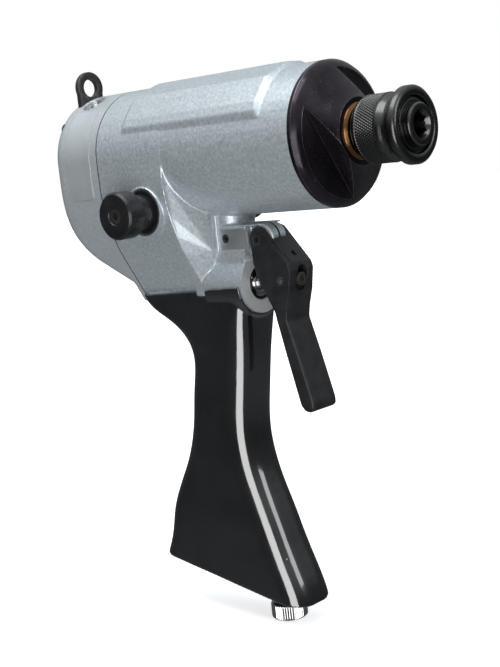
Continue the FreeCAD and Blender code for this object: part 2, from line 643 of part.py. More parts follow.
def lanyard_eye():
    hole = rod("eye_hole", "eye_hole_radius", 10, ("eye_x - 3", "eye_y", "eye_z"))
    pin_hole = rod("eye_foot_hole", "eye_pin_radius", 10, ("eye_x - 3", "eye_y", "eye_foot + 3"))
    node(cut("lanyard_eye", eye_blank("eye_plate"), [hole, pin_hole]), "lanyard_eye")
    node(rod("eye_pin", "eye_pin_radius", 13, ("-barrel_length - cap_length + 1.5", "eye_y", "eye_foot + 3")),
         "eye_pin")
    node(plug_seat("cap_plug", "plug_radius", "plug_level", "plug_thickness"), "cap_plug")


def wear_plate_blank(name):
    """Two discs joined by a straight web, behind the two gears."""
    rear = "-barrel_length - gasket_thickness - wear_plate_thickness"
    drop = "gear_module * gear_teeth"
    discs = [rod(f"{name}_disc_{i}", "wear_plate_radius", "wear_plate_thickness", (rear, 0, f"-{i} * {drop}"))
             for i in (0, 1)]
    web = block(name + "_web", (rear, "-wear_plate_radius", f"-{drop}"),
                ("wear_plate_thickness", "2 * wear_plate_radius", drop))
    return fuse(name, [*discs, web])


def cap_screw(i, y, z):
    """A socket head screw sunk into the cap and driven in from behind."""
    under_head = "-barrel_length - cap_length + screw_sink_depth"
    head = rod(f"cap_screw_head_{i}", "screw_head_radius", 5, (f"{under_head} - 5", y, z))
    shank = rod(f"cap_screw_shank_{i}", "screw_radius", "cap_length + 4", (under_head, y, z))
    socket = hex_bar(f"cap_screw_socket_{i}", "screw_socket", 3, (f"{under_head} - 6", y, z), "x")
    return cut(f"cap_screw_{i}", fuse(f"cap_screw_blank_{i}", [head, shank]), [socket])


def cap_details():
    """Gasket, wear plate, screws and the plain band on the cap's side."""
    front = -size("barrel_length")
    rear = front - size("gasket_thickness")
    drop = "gear_module * gear_teeth"
    sheet = teardrop(rear, front, size("gasket_inset")).cut(under_grip_top())
    openings = [rod(f"gasket_gear_{i}", "gear_pocket_radius", 4, (rear - PAST, 0, f"-{i} * {drop}"))
                for i in (0, 1)]
    openings += [rod(f"gasket_screw_{i}", "screw_hole_radius", 4, (rear - PAST, y, z))
                 for i, (y, z) in enumerate(CAP_SCREWS)]
    node(cut("cap_gasket", fixed_shape("gasket_sheet", sheet), openings), "cap_gasket")

    shaft_holes = [rod("plate_shaft_hole", "gear_shaft_radius + slide_gap", 10, (rear - 5, 0, 0)),
                   rod("plate_idler_hole", "idler_shaft_radius", 10, (rear - 5, 0, f"-{drop}"))]
    node(cut("wear_plate", wear_plate_blank("plate_blank"), shaft_holes), "wear_plate")
    node(group("cap_screws", [cap_screw(i, y, z) for i, (y, z) in enumerate(CAP_SCREWS)]), "cap_screws")

    band = teardrop(-size("band_rear"), -size("band_front"), -size("band_thickness"))
    band = band.cut(teardrop(-size("band_rear") - PAST, -size("band_front") + PAST))
    side = Part.makeBox(THROUGH, THROUGH, size("band_top") + size("band_bottom"),
                        Vector(-THROUGH, -THROUGH, -size("band_bottom")))
    node(fixed_shape("name_band", band.common(side)), "name_band")


# ---------------------------------------------------------------- gear motor

def gear_shape(phase):
    """A spur gear's solid, from involute flanks, centred on the X axis."""
    pressure_angle, addendum, dedendum, backlash, flank_steps = math.radians(20), 0.95, 1.25, 0.012, 4
    teeth = int(size("gear_teeth"))
    pitch_radius = size("gear_module") * teeth / 2
    base_radius = pitch_radius * math.cos(pressure_angle)
    tip_radius = pitch_radius + addendum * size("gear_module")
    root_radius = pitch_radius - dedendum * size("gear_module")

    def involute(radius):
        pressure = math.acos(min(1.0, base_radius / radius))
        return math.tan(pressure) - pressure

    def half_angle(radius):
        return math.pi / (2 * teeth) - backlash + involute(pitch_radius) - involute(radius)

    radii = [base_radius + (tip_radius - base_radius) * step / flank_steps for step in range(flank_steps + 1)]
    flank = [(root_radius, half_angle(base_radius))] + [(radius, half_angle(radius)) for radius in radii]
    points = []
    for tooth in range(teeth):
        centre = phase + 2 * math.pi * tooth / teeth
        points += [(radius, centre - angle) for radius, angle in flank]
        points += [(radius, centre + angle) for radius, angle in reversed(flank)]
    corners = [Vector(0, radius * math.cos(angle), radius * math.sin(angle)) for radius, angle in points]
    face = Part.Face(Part.makePolygon(corners + corners[:1]))
    return face.extrude(Vector(size("gear_width") - size("gear_end_gap"), 0, 0))


def key_block(name):
    """The space of the key between the drive gear and its shaft."""
    return block(name, ("-barrel_length + key_start", "-key_width / 2", "key_level"),
                 ("key_length", "key_width", "key_height"))


def motor():
    start = "-barrel_length + gear_end_gap / 2"
    drop = "gear_module * gear_teeth"
    down = -math.pi / 2
    drive = fixed_shape("drive_teeth", gear_shape(down))
    place(drive, (start, 0, 0))
    journal = rod("drive_journal", "gear_shaft_radius", f"journal_length + {PAST}",
                  ("-barrel_length - journal_length", 0, 0))
    drive_bore = rod("drive_bore", "gear_bore", 40, ("-barrel_length - 20", 0, 0))
    node(cut("drive_gear", fuse("drive_blank", [drive, journal]), [drive_bore, key_block("drive_key_way")]),
         "drive_gear")
    node(key_block("gear_key"), "gear_key")

    half_tooth = math.pi / size("gear_teeth")
    idler = fixed_shape("idler_teeth", gear_shape(-down + half_tooth))
    place(idler, (start, 0, f"-{drop}"))
    idler_bore = rod("idler_bore", "idler_shaft_radius + slide_gap", 30, ("-barrel_length - 5", 0, f"-{drop}"))
    node(cut("idler_gear", idler, [idler_bore]), "idler_gear")
    shaft_rear = "gasket_thickness + wear_plate_thickness"
    node(rod("idler_shaft", "idler_shaft_radius", f"gear_width + 7 + {shaft_rear}",
             (f"-barrel_length - ({shaft_rear})", 0, f"-{drop}")), "idler_shaft")


# ---------------------------------------------------------------- impact mechanism

def race_balls(name, radius):
    """Two balls, or the pockets they run in, on opposite sides of the cam shaft."""
    return [ball(f"{name}_{i}", radius, ("-race_place", f"{side} * race_circle", 0))
            for i, side in enumerate((1, -1))]


def cam_shaft():
    """Motor shaft, bearing journal, flange, cam and pilot in one piece."""
    gear_front = "-barrel_length + gear_width + gear_end_gap"
    journal_rear = "-chamber_depth - bearing_width - gear_end_gap"
    flange_rear = "-chamber_depth + 0.5"
    flange_front = f"{flange_rear} + cam_flange_width"
    cam_front = "-hammer_front - 4"
    shaft = turned("cam_blank", [
        ("-barrel_length", 0), ("-barrel_length", "gear_bore"), (gear_front, "gear_bore"),
        (gear_front, "motor_shaft_radius"), (journal_rear, "motor_shaft_radius"), (journal_rear, "bearing_bore"),
        (flange_rear, "bearing_bore"), (flange_rear, "cam_flange_radius"), (flange_front, "cam_flange_radius"),
        (flange_front, "cam_radius"), (cam_front, "cam_radius"), (cam_front, "pilot_radius"),
        ("-pilot_front", "pilot_radius"), ("-pilot_front", 0)])
    seats = [*race_balls("cam_pocket", "race_radius"), key_block("cam_key_seat")]
    node(cut("cam_shaft", shaft, seats), "cam_shaft")


def hammer():
    """Heavy ring that slides on the cam, with room for its spring behind and two dogs in front."""
    bore = "cam_radius + slide_gap"
    body = turned("hammer_body", [
        ("-hammer_rear", bore), ("-hammer_rear", "spring_room_inside"),
        ("-spring_room_front", "spring_room_inside"), ("-spring_room_front", "spring_room_outside"),
        ("-hammer_rear", "spring_room_outside"),
        ("-hammer_rear", "hammer_radius"), ("-hammer_front", "hammer_radius"), ("-hammer_front", bore)])
    dog_ring = ring("dog_ring", f"-hammer_front - {PAST}", "-hammer_front + dog_length", 16, "hammer_radius")
    dog_bar = block("dog_bar", ("-hammer_front - 2", -30, "-dog_width / 2"), ("dog_length + 4", 60, "dog_width"))
    blank = fuse("hammer_blank", [body, common("dogs", [dog_ring, dog_bar])])
    node(cut("hammer", blank, race_balls("hammer_pocket", "race_radius")), "hammer")


def impact_mechanism():
    bearing_rear = "-chamber_depth - bearing_width"
    washer("shaft_seal", f"{bearing_rear} - seal_width + gear_end_gap", f"{bearing_rear} - gear_end_gap",
           "motor_shaft_radius + 0.02", "seal_radius")
    washer("main_bearing", bearing_rear, "-chamber_depth", "bearing_bore + 0.02", "bearing_radius")
    cam_shaft()
    hammer()
    node(group("hammer_balls", race_balls("hammer_ball", "race_radius - slide_gap")), "hammer_balls")
    node(coil("hammer_spring", "hammer_spring_radius", "hammer_spring_wire", (-90.9, 0, 0), 39, 8.6),
         "hammer_spring")


def output_anvil():
    """Anvil, nose journal and hex socket in one piece."""
    wings = common("anvil_wings", [
        rod("wing_disc", "anvil_wing_radius", "wing_rear - wing_front", ("-wing_rear", 0, 0)),
        block("wing_bar", ("-wing_rear", "-wing_width / 2", -30), ("wing_rear - wing_front", "wing_width", 60))])
    stem = turned("anvil_stem", [
        ("-wing_rear", 0), ("-wing_rear", "cam_radius"), ("-wing_front", "cam_radius"),
        ("-wing_front", "anvil_radius"), ("stop_groove", "anvil_radius"), ("stop_groove", "groove_radius"),
        ("stop_groove + groove_width", "groove_radius"), ("stop_groove + groove_width", "anvil_radius"),
        ("retaining_groove", "anvil_radius"), ("retaining_groove", "groove_radius"),
        ("retaining_groove + groove_width", "groove_radius"), ("retaining_groove + groove_width", "anvil_radius"),
        ("anvil_front - 0.8", "anvil_radius"), ("anvil_front", "anvil_radius - 0.8"), ("anvil_front", 0)])
    pilot = rod("pilot_bore", "pilot_radius + slide_gap", 15, (f"-wing_rear - {PAST}", 0, 0))
    socket = hex_bar("hex_socket", "hex_across_flats", f"socket_depth + {PAST}",
                     ("anvil_front - socket_depth", 0, 0), "x")
    mouth = turned("socket_mouth", [
        ("anvil_front - socket_mouth_depth", 0), ("anvil_front - socket_mouth_depth", "hex_across_flats / 2"),
        ("anvil_front + 0.1", "socket_mouth_radius"), ("anvil_front + 0.1", 0)])
    ball_hole = rod("ball_hole", "ball_radius + slide_gap", 12, ("ball_place", 0, 0), "z")
    blank = fuse("anvil_blank", [wings, stem])
    node(cut("output_anvil", blank, [pilot, socket, mouth, ball_hole]), "output_anvil")
    washer("thrust_washer", -15.5, "-thrust_washer_front", "anvil_radius + slide_gap", "thrust_washer_radius")


def wrench_flat(i, angle):
    """A box that cuts one flat across the cone, square to a direction round the spindle."""
    flat = doc.addObject("Part::Box", f"wrench_flat_{i}")
    flat.Length, flat.Width, flat.Height = 20, 80, 40
    turn = Rotation(Vector(1, 0, 0), angle - 90)
    corner = Vector(size("wrench_flat_rear"), -40, size("wrench_flat_level"))
    flat.Placement = Placement(turn.multVec(corner), turn)
    return flat


def nose_cover():
    """Screwed nose: a shallow cone with two wrench flats and a collar round the bush."""
    shell = turned("nose_blank", [
        ("-nose_thread_length", "nose_room_radius"), ("-nose_thread_length", "nose_thread_radius"),
        (0, "nose_thread_radius"), (0, "barrel_front_radius"), ("nose_rim", "barrel_front_radius"),
        ("cone_rear", "cone_rear_radius"), ("cone_front", "cone_front_radius"), ("collar_front", "collar_radius"),
        ("collar_front", "bush_radius"), ("-nose_thread_length", "bush_radius"),
        ("-nose_thread_length", "nose_collar_room"), ("-nose_wall", "nose_collar_room"),
        ("-nose_wall", "nose_room_radius")])
    angle = size("wrench_flat_angle")
    flats = [wrench_flat(i, turn) for i, turn in enumerate((angle, angle + 180))]
    node(cut("nose_cover", shell, flats), "nose_cover")
    node(turned("nose_bush", [
        ("-nose_thread_length", "anvil_radius + slide_gap"), ("-nose_thread_length", "bush_radius"),
        ("bush_front - bush_chamfer", "bush_radius"), ("bush_front", "bush_radius - bush_chamfer"),
        ("bush_front", "anvil_radius + slide_gap")]), "nose_bush")


def chuck():
    """Quick-change collar: it is pulled forward to free the detent ball."""
    journal = "anvil_radius + slide_gap"
    node(turned("chuck_sleeve", [
        ("sleeve_rear", "sleeve_bore"), ("sleeve_rear", "knurl_radius - 3"),
        ("sleeve_rear + 0.8", "knurl_radius - 2"), ("sleeve_rear + 4", "knurl_radius"),
        ("sleeve_rear + 16", "knurl_radius"),
        ("sleeve_rear + 16.4", "knurl_radius - 0.6"), ("sleeve_rear + 18.4", "knurl_radius - 0.6"),
        ("sleeve_rear + 19.2", "knurl_radius - 1.4"), ("sleeve_rear + 21.4", "knurl_radius - 1.4"),
        ("sleeve_rear + 23.4", "knurl_radius - 0.3"), ("sleeve_rear + 24.6", "flange_radius - 0.6"),
        ("sleeve_rear + 25.2", "flange_radius"), ("sleeve_front - 1.2", "flange_radius"),
        ("sleeve_front", "flange_radius - 1.2"), ("sleeve_front", "sleeve_mouth_radius"),
        ("sleeve_rear + 16.2", "sleeve_mouth_radius"), ("sleeve_rear + 16.2", journal),
        ("sleeve_rear + 10", journal), ("sleeve_rear + 10", "sleeve_bore")]), "chuck_sleeve")
    node(group("chuck_snap_rings", [
        ring("stop_ring", "stop_groove", "stop_groove + groove_width", "groove_radius", "stop_ring_radius"),
        ring("retaining_ring", "retaining_groove", "retaining_groove + groove_width", "groove_radius",
             "retaining_ring_radius")]), "chuck_snap_rings")
    washer("chuck_washer", "chuck_washer_rear", "chuck_washer_rear + 1.5", journal, "chuck_washer_radius")
    node(coil("chuck_spring", "chuck_spring_radius", "chuck_spring_wire", (38.3, 0, 0), 7.3, 3.4), "chuck_spring")
    node(ball("detent_ball", "ball_radius", ("ball_place", 0, "ball_level")), "detent_ball")


# ---------------------------------------------------------------- reversing spool

ACROSS_SPOOL = ("spool_x", 0, "spool_z")
SPOOL_ENDS = {
    "right": ("-spool_boss_face + 0.8", -1),
    "left": ("spool_boss_face + 0.4 - knob_stem", 1),
}


def spool_shaft():
    """Three lands, two waists, and a narrow end for each knob."""
    right_end, left_end = SPOOL_ENDS["right"][0], SPOOL_ENDS["left"][0]
    land, waist = "spool_radius", "spool_waist_radius"
    outside, inside = "spool_land_outside", "spool_land_inside"
    shaft = turned("spool_shaft_blank", [
        (f"{right_end} - spool_end_length", 0), (f"{right_end} - spool_end_length", "spool_end_radius"),
        (right_end, "spool_end_radius"), (right_end, land), (f"-{outside}", land), (f"-{outside}", waist),
        (f"-{inside}", waist), (f"-{inside}", land), (inside, land), (inside, waist), (outside, waist),
        (outside, land), (left_end, land), (left_end, "spool_end_radius"),
        (f"{left_end} + spool_end_length", "spool_end_radius"), (f"{left_end} + spool_end_length", 0)],
        "y", ACROSS_SPOOL)
    taps = [rod("spool_tap_right", "knob_screw_radius", 14,
                ("spool_x", f"{right_end} - spool_end_length - {PAST}", "spool_z"), "y"),
            rod("spool_tap_left", "knob_screw_radius", 14, ("spool_x", f"{left_end} - 5", "spool_z"), "y")]
    node(cut("reversing_spool_shaft", shaft, taps), "reversing_spool")


def reversing_knob(side):
    """A round knob on a stem, with the screw in its centre; distances run outward from the spool's end."""
    end, turn = SPOOL_ENDS[side]
    outer = "knob_stem + knob_thickness"

    def at(distance):
        return f"{end} + {turn} * ({distance})"

    blank = turned(f"{side}_knob_blank", [
        (at(0), "spool_end_radius + 0.02"), (at(0), "spool_stem_radius"), (at("knob_stem"), "spool_stem_radius"),
        (at("knob_stem"), "knob_radius - 0.8"), (at("knob_stem + 0.8"), "knob_radius"),
        (at(f"{outer} - 1.2"), "knob_radius"), (at(outer), "knob_radius - 1.2"), (at(outer), 4.4),
        (at(f"{outer} - 5"), 4.4), (at(f"{outer} - 5"), 2.2), (at(7.1), 2.2),
        (at(7.1), "spool_end_radius + 0.02")], "y", ACROSS_SPOOL)
    pin_hole = rod(f"{side}_knob_set_hole", 1.3, 6, ("spool_x", at(f"{outer} - 5.5"), "spool_z + 8.5"), "z")
    under_head = at(f"{outer} - 4.9")
    head = ring(f"{side}_knob_screw_blank", under_head, at(f"{outer} - 0.9"), 0, "knob_screw_head_radius",
                "y", ACROSS_SPOOL)
    shank = ring(f"{side}_knob_screw_shank", at(-3), under_head, 0, "knob_screw_radius", "y", ACROSS_SPOOL)
    socket_from = f"{outer} - 0.8" if turn < 0 else f"{outer} - 3.4"
    socket = hex_bar(f"{side}_knob_screw_socket", "screw_socket", 2.6,
                     ("spool_x", at(socket_from), "spool_z"), "y")
    screw = cut(f"{side}_knob_screw", fuse(f"{side}_screw_blank", [head, shank]), [socket])
    return cut(f"{side}_knob", blank, [pin_hole]), screw


def reversing_spool():
    """Spool across the neck; the right knob stands out at rest and the left one is home."""
    spool_shaft()
    knobs, screws = zip(*[reversing_knob(side) for side in SPOOL_ENDS])
    node(group("reversing_knobs", list(knobs)), "reversing_knobs")
    node(group("knob_screws", list(screws)), "knob_screws")
    bore = "spool_stem_radius + slide_gap"
    node(group("spool_bushes", [
        ring("right_spool_bush", "-spool_boss_face + spool_bush_sink", "-spool_bush_depth", bore,
             "spool_bush_radius", "y", ACROSS_SPOOL),
        ring("left_spool_bush", "spool_bush_depth", "spool_boss_face - spool_bush_sink", bore,
             "spool_bush_radius", "y", ACROSS_SPOOL)]), "spool_bushes")


# ---------------------------------------------------------------- trigger and throttle valve

def lever():
    """Forked lever: two cheeks round the lugs, a web in front and a finger bar below."""
    cheeks = plate("cheek_blank", [
        (-57.6, -50.5), (-57, -63), (-55.6, -70), (-51.6, -78), (-44.2, -92), (-39.6, -95.5), (-38.0, -94),
        (-33.6, -80), (-31.6, -68.5), (-32.6, -65), (-49.0, -45.6), (-52.8, -44.0), (-56.2, -46.2)],
        "cheek_outside", "cheek_round", lambda point: point.z > size("valve_z"))
    gap = block("cheek_gap", (-70, "-cheek_inside", -100), (60, "2 * cheek_inside", 70))
    fork = cut("fork", cheeks, [gap])
    web = plate("web", [
        (-44.4, -58.6), (-34.5, -67.2), (-35.8, -80), (-41.2, -90.5), (-46, -100), (-38.0, -96), (-38.0, -94),
        (-33.6, -80), (-31.6, -68.5), (-32.8, -64.6), (-43.4, -50.4)], "cheek_inside + 0.5")
    bar = plate("finger_bar", [
        (-45.4, -88.5), (-44.4, -96), (-40.3, -114), (-33.6, -141.4), (-31.2, -144.4), (-27.6, -145.4),
        (-24.6, -143.6), (-24.8, -139.6), (-31.8, -114), (-37.4, -95.4), (-36.4, -88)], "cheek_outside",
        "bar_round", lambda point: point.z < -130)
    openings = [
        rod("trigger_pivot_hole", "pivot_radius + slide_gap", 30, ("pivot_x", -15, "pivot_z"), "y"),
        rod("cross_pin_hole", "cross_pin_radius", 30, ("cross_pin_x", -15, "cross_pin_z"), "y"),
        rod("kidney_top_end", "kidney_radius", 30, (-60, "kidney_shift", "kidney_top"), "x"),
        rod("kidney_bottom_end", "kidney_radius", 30, (-60, 0, "kidney_bottom"), "x"),
        block("kidney_middle", (-60, "kidney_shift / 2 - kidney_radius - 0.1", "kidney_bottom"),
              (30, "2 * kidney_radius", "kidney_top - kidney_bottom")),
        rod("web_hole", 1.4, 30, (-60, "kidney_shift / 2", -60), "x")]
    node(cut("trigger_lever", fuse("lever_blank", [fork, web, bar]), openings), "trigger_lever")


def trigger_pins():
    """Pivot pin, the cross pin with its threaded barrel, and the adjusting screw through it."""
    pin = rod("pivot_pin_blank", "pivot_radius", "2 * cheek_outside + 0.6",
              ("pivot_x", "-cheek_outside - 0.3", "pivot_z"), "y")
    pin_bore = rod("pivot_pin_bore", "pivot_bore", 30, ("pivot_x", -15, "pivot_z"), "y")
    node(cut("trigger_pivot_pin", pin, [pin_bore]), "trigger_pivot_pin")

    barrel_nut = fuse("cross_pin_blank", [
        rod("cross_pin_rod", "cross_pin_radius", "2 * cheek_outside + 0.4",
            ("cross_pin_x", "-cheek_outside - 0.2", "cross_pin_z"), "y"),
        rod("cross_pin_barrel", "cross_nut_radius", "2 * cheek_inside - 0.4",
            ("cross_pin_x", "-cheek_inside + 0.2", "cross_pin_z"), "y")])
    nut_bore = rod("cross_pin_thread", "adjuster_radius", 20, ("cross_pin_x - 10", 0, "cross_pin_z"), "x")
    end_bore = rod("cross_pin_end_bore", 1.3, 3, ("cross_pin_x", f"-cheek_outside - {PAST}", "cross_pin_z"), "y")
    node(cut("trigger_cross_pin", barrel_nut, [nut_bore, end_bore]), "trigger_cross_pin")

    screw = fuse("adjusting_blank", [
        rod("adjusting_shank", "adjuster_radius", 12.7, ("adjuster_rear", 0, "cross_pin_z"), "x"),
        ball("adjusting_tip", "adjuster_radius", ("adjuster_rear", 0, "cross_pin_z")),
        rod("adjusting_head", "adjuster_head_radius", 2.5, ("adjuster_head", 0, "cross_pin_z"), "x")])
    socket = hex_bar("adjusting_socket", 3, 2, ("adjuster_head + 0.8", 0, "cross_pin_z"), "x")
    node(cut("adjusting_screw", screw, [socket]), "adjusting_screw")


def throttle_valve():
    """Throttle spool in a pressed-in liner, behind a screwed gland and a wiper."""
    across = (0, 0, "valve_z")
    land, waist, stem = "liner_bore - slide_gap", "throttle_waist_radius", "throttle_stem_radius"
    guide = "throttle_stem_radius + slide_gap"
    node(turned("throttle_spool", [
        (-101, 0), (-101, 3), (-99, land), (-90, land), (-90, waist), (-80, waist), (-80, land), (-71, land),
        (-71, stem), ("-throttle_face", stem), ("-throttle_face", 0)], "x", across), "throttle_spool")
    node(ring("valve_liner", "-valve_floor + 0.1", "-gland_rear - 0.1", "liner_bore", "valve_bore", "x", across),
         "valve_liner")
    node(turned("valve_gland", [
        ("-gland_rear", guide), ("-gland_rear", "valve_bore"), ("-gland_front", "valve_bore"),
        ("-gland_front", "wiper_radius + 0.2"), ("-gland_seat", "wiper_radius + 0.2"), ("-gland_seat", guide)],
        "x", across), "valve_gland")
    node(ring("wiper_ring", "-gland_seat + 0.1", "-gland_front + 0.2", guide, "wiper_radius", "x", across),
         "wiper_ring")
    node(coil("throttle_spring", 5.2, 0.7, (-115.9, 0, "valve_z"), 13.8, 3.4), "throttle_spring")
    screw = rod("pad_screw_blank", "pad_screw_radius", 7, ("pad_screw_x", "-block_half_width - 0.4", "pad_screw_z"),
                "y")
    socket = hex_bar("pad_screw_socket", 2.5, 4, ("pad_screw_x", "-block_half_width - 1.4", "pad_screw_z"), "y")
    node(cut("pad_set_screw", screw, [socket]), "pad_set_screw")


# ---------------------------------------------------------------- grip and foot

def control_block():
    """The flow-control block let into the foot, rounded at its front corners."""
    blank = block("control_blank", ("-control_rear", "-control_half_width", "-control_bottom"),
                  ("control_rear - control_front", "2 * control_half_width", "control_bottom - control_top"))
    soft = doc.addObject("Part::Fillet", "control_rounded")
    doc.recompute()
    soft.Base = blank
    radius = size("control_round")
    soft.Edges = [(i, radius, radius) for i, edge in enumerate(blank.Shape.Edges, start=1)
                  if abs(edge.tangentAt(edge.FirstParameter).z) > 0.99
                  and edge.Vertexes[0].X > size("control_x")]
    under = f"-control_bottom - {PAST}"
    knob_bore = rod("control_bore", "control_stem_radius + slide_gap", 30, ("control_x", 0, under), "z")
    holes = [rod(f"control_hole_{i}", 1.7, 30, (x, y, under), "z") for i, (x, y) in enumerate(CONTROL_SCREWS)]
    sinks = [rod(f"control_sink_{i}", 3.1, 4.4, (x, y, under), "z") for i, (x, y) in enumerate(CONTROL_SCREWS)]
    node(cut("control_block", soft, [knob_bore, *holes, *sinks]), "control_block")


def control_screw(i, x, y):
    head = rod(f"control_screw_head_{i}", "control_screw_head_radius", 3, (x, y, "-control_bottom + 0.4"), "z")
    shank = rod(f"control_screw_shank_{i}", "control_screw_radius", 15, (x, y, "-control_bottom + 3.4"), "z")
    socket = hex_bar(f"control_screw_socket_{i}", 2.5, 2, (x, y, "-control_bottom"), "z")
    return cut(f"control_screw_{i}", fuse(f"control_screw_blank_{i}", [head, shank]), [socket])


def flow_control():
    """A knob with its stem in the block, and the needle it feeds into the passage above."""
    upward = ("control_x", 0, 0)
    node(turned("flow_knob", [
        ("-control_knob_bottom", 0), ("-control_knob_bottom", "control_knob_radius - 1"),
        ("-control_knob_bottom + 1", "control_knob_radius"), ("-control_knob_top - 1", "control_knob_radius"),
        ("-control_knob_top", "control_knob_radius - 1"), ("-control_knob_top", 5.4),
        ("-control_bottom - 2.6", 5.0), ("-control_bottom - 2.2", "control_stem_radius"),
        ("control_stem_top", "control_stem_radius"), ("control_stem_top", 0)], "z", upward), "flow_knob")
    foot_of_needle = "control_stem_top + 0.1"
    node(turned("flow_needle", [
        (foot_of_needle, 0), (foot_of_needle, "needle_radius"), ("needle_seat", "needle_radius"),
        ("needle_tip", 0)], "z", upward), "flow_needle")


def foot():
    node(fixed_shape("grip", grip()), "grip")
    control_block()
    node(group("control_screws", [control_screw(i, x, y) for i, (x, y) in enumerate(CONTROL_SCREWS)]),
         "control_screws")
    flow_control()


# ---------------------------------------------------------------- build, check and write

def build():
    main_housing()
    rear_cap()
    cap_details()
    lanyard_eye()
    motor()
    impact_mechanism()
    output_anvil()
    nose_cover()
    chuck()
    reversing_spool()
    lever()
    trigger_pins()
    throttle_valve()
    foot()
    doc.recompute()


def check():
    failed = [item.Name for item in doc.Objects if "Invalid" in item.State or "Error" in item.State]
    empty = [item.Label for item in nodes
             if item.Shape.isNull() or not item.Shape.isValid() or not item.Shape.Solids]
    if failed or empty:
        raise RuntimeError(f"failed features {failed}, empty or invalid sub-parts {empty}")


def write():
    os.makedirs("parts", exist_ok=True)
    for item in nodes:
        item.Shape.exportStep(f"parts/{item.Label}.step")
        print(item.Label, round(item.Shape.Volume / 1000, 2), "cm3", len(item.Shape.Solids), "solids")


build()
check()
write()
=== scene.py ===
import math

import bmesh
import bpy
import numpy as np
from mathutils import Matrix, Vector, noise

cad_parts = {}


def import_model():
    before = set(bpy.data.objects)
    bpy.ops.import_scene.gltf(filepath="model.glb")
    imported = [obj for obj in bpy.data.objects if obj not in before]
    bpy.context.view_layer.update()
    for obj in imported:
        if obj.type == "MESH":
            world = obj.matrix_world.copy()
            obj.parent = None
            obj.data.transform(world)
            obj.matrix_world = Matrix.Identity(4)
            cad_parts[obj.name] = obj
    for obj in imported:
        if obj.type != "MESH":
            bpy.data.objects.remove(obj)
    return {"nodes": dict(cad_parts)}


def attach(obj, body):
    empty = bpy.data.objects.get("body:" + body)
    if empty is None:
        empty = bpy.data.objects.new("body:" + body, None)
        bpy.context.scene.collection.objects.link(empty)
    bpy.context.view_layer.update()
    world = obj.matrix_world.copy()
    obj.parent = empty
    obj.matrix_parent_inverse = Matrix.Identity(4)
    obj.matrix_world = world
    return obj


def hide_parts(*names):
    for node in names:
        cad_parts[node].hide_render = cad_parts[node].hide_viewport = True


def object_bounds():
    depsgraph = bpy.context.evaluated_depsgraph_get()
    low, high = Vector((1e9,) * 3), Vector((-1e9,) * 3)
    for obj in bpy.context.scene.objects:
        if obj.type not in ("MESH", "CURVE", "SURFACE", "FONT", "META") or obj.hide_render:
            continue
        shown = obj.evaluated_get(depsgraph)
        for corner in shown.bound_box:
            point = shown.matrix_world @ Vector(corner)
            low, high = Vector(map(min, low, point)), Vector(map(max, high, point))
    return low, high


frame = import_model()
cad_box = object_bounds()

MM = 0.001
X, Y, Z = 0, 1, 2


def detail(full, quick):
    return full


# Millimetres, on the CAD frame.
CAST_VOXEL = detail(0.6, 1.2)
LEVER_VOXEL = detail(0.32, 0.8)
SPOOL = (-108.2, 0, -30.5)
VALVE = (0, 0, -75.4)
LEVER_PIVOT = (-52.9, 0, -51.1)
CROSS_PIN = (-38.9, 0, -73.8)
IDLER = (0, 0, -24)
SPINDLE = (0, 0, 0)


# ---------------------------------------------------------------- mesh helpers

def new_object(name, verts, faces, material=None):
    """A mesh object from points in millimetres."""
    mesh = bpy.data.meshes.new(name)
    mesh.from_pydata([tuple(c * MM for c in v) for v in verts], [], faces)
    mesh.update()
    obj = bpy.data.objects.new(name, mesh)
    bpy.context.scene.collection.objects.link(obj)
    if material:
        mesh.materials.append(material)
    return obj


def copy_of(node, name):
    """A free copy of a CAD node's mesh, welded along its face borders."""
    mesh = frame["nodes"][node].data.copy()
    mesh.materials.clear()
    obj = bpy.data.objects.new(name, mesh)
    bpy.context.scene.collection.objects.link(obj)
    work = bmesh.new()
    work.from_mesh(mesh)
    bmesh.ops.remove_doubles(work, verts=work.verts, dist=2e-6)
    bmesh.ops.dissolve_degenerate(work, dist=1e-6, edges=work.edges)
    work.to_mesh(mesh)
    work.free()
    if "custom_normal" in mesh.attributes:
        mesh.attributes.remove(mesh.attributes["custom_normal"])
    return obj


def bake(obj):
    """Applies the modifiers."""
    graph = bpy.context.evaluated_depsgraph_get()
    graph.update()
    mesh = bpy.data.meshes.new_from_object(obj.evaluated_get(graph))
    obj.modifiers.clear()
    old = obj.data
    obj.data = mesh
    bpy.data.meshes.remove(old)
    return obj


def joined(name, objects):
    """One object from several; the old ones go."""
    work = bmesh.new()
    for obj in objects:
        work.from_mesh(obj.data)
    mesh = bpy.data.meshes.new(name)
    work.to_mesh(mesh)
    work.free()
    result = bpy.data.objects.new(name, mesh)
    bpy.context.scene.collection.objects.link(result)
    for obj in objects:
        bpy.data.objects.remove(obj)
    return result


def boolean(obj, tools, operation="DIFFERENCE"):
    for tool in tools:
        step = obj.modifiers.new("step", "BOOLEAN")
        step.solver = "MANIFOLD"
        step.operation = operation
        step.object = tool
        step.material_mode = "TRANSFER"
    bake(obj)
    for tool in tools:
        bpy.data.objects.remove(tool)
    return obj


def largest_shell(obj):
    """Leaves only the outer skin, without the closed hollows inside."""
    work = bmesh.new()
    work.from_mesh(obj.data)
    work.verts.ensure_lookup_table()
    seen = np.zeros(len(work.verts), bool)
    shells = []
    for start in work.verts:
        if seen[start.index]:
            continue
        seen[start.index] = True
        stack, shell = [start], []
        while stack:
            vert = stack.pop()
            shell.append(vert)
            for edge in vert.link_edges:
                other = edge.other_vert(vert)
                if not seen[other.index]:
                    seen[other.index] = True
                    stack.append(other)
        shells.append(shell)
    shells.sort(key=len)
    bmesh.ops.delete(work, geom=[v for shell in shells[:-1] for v in shell], context="VERTS")
    work.to_mesh(obj.data)
    work.free()
    return obj


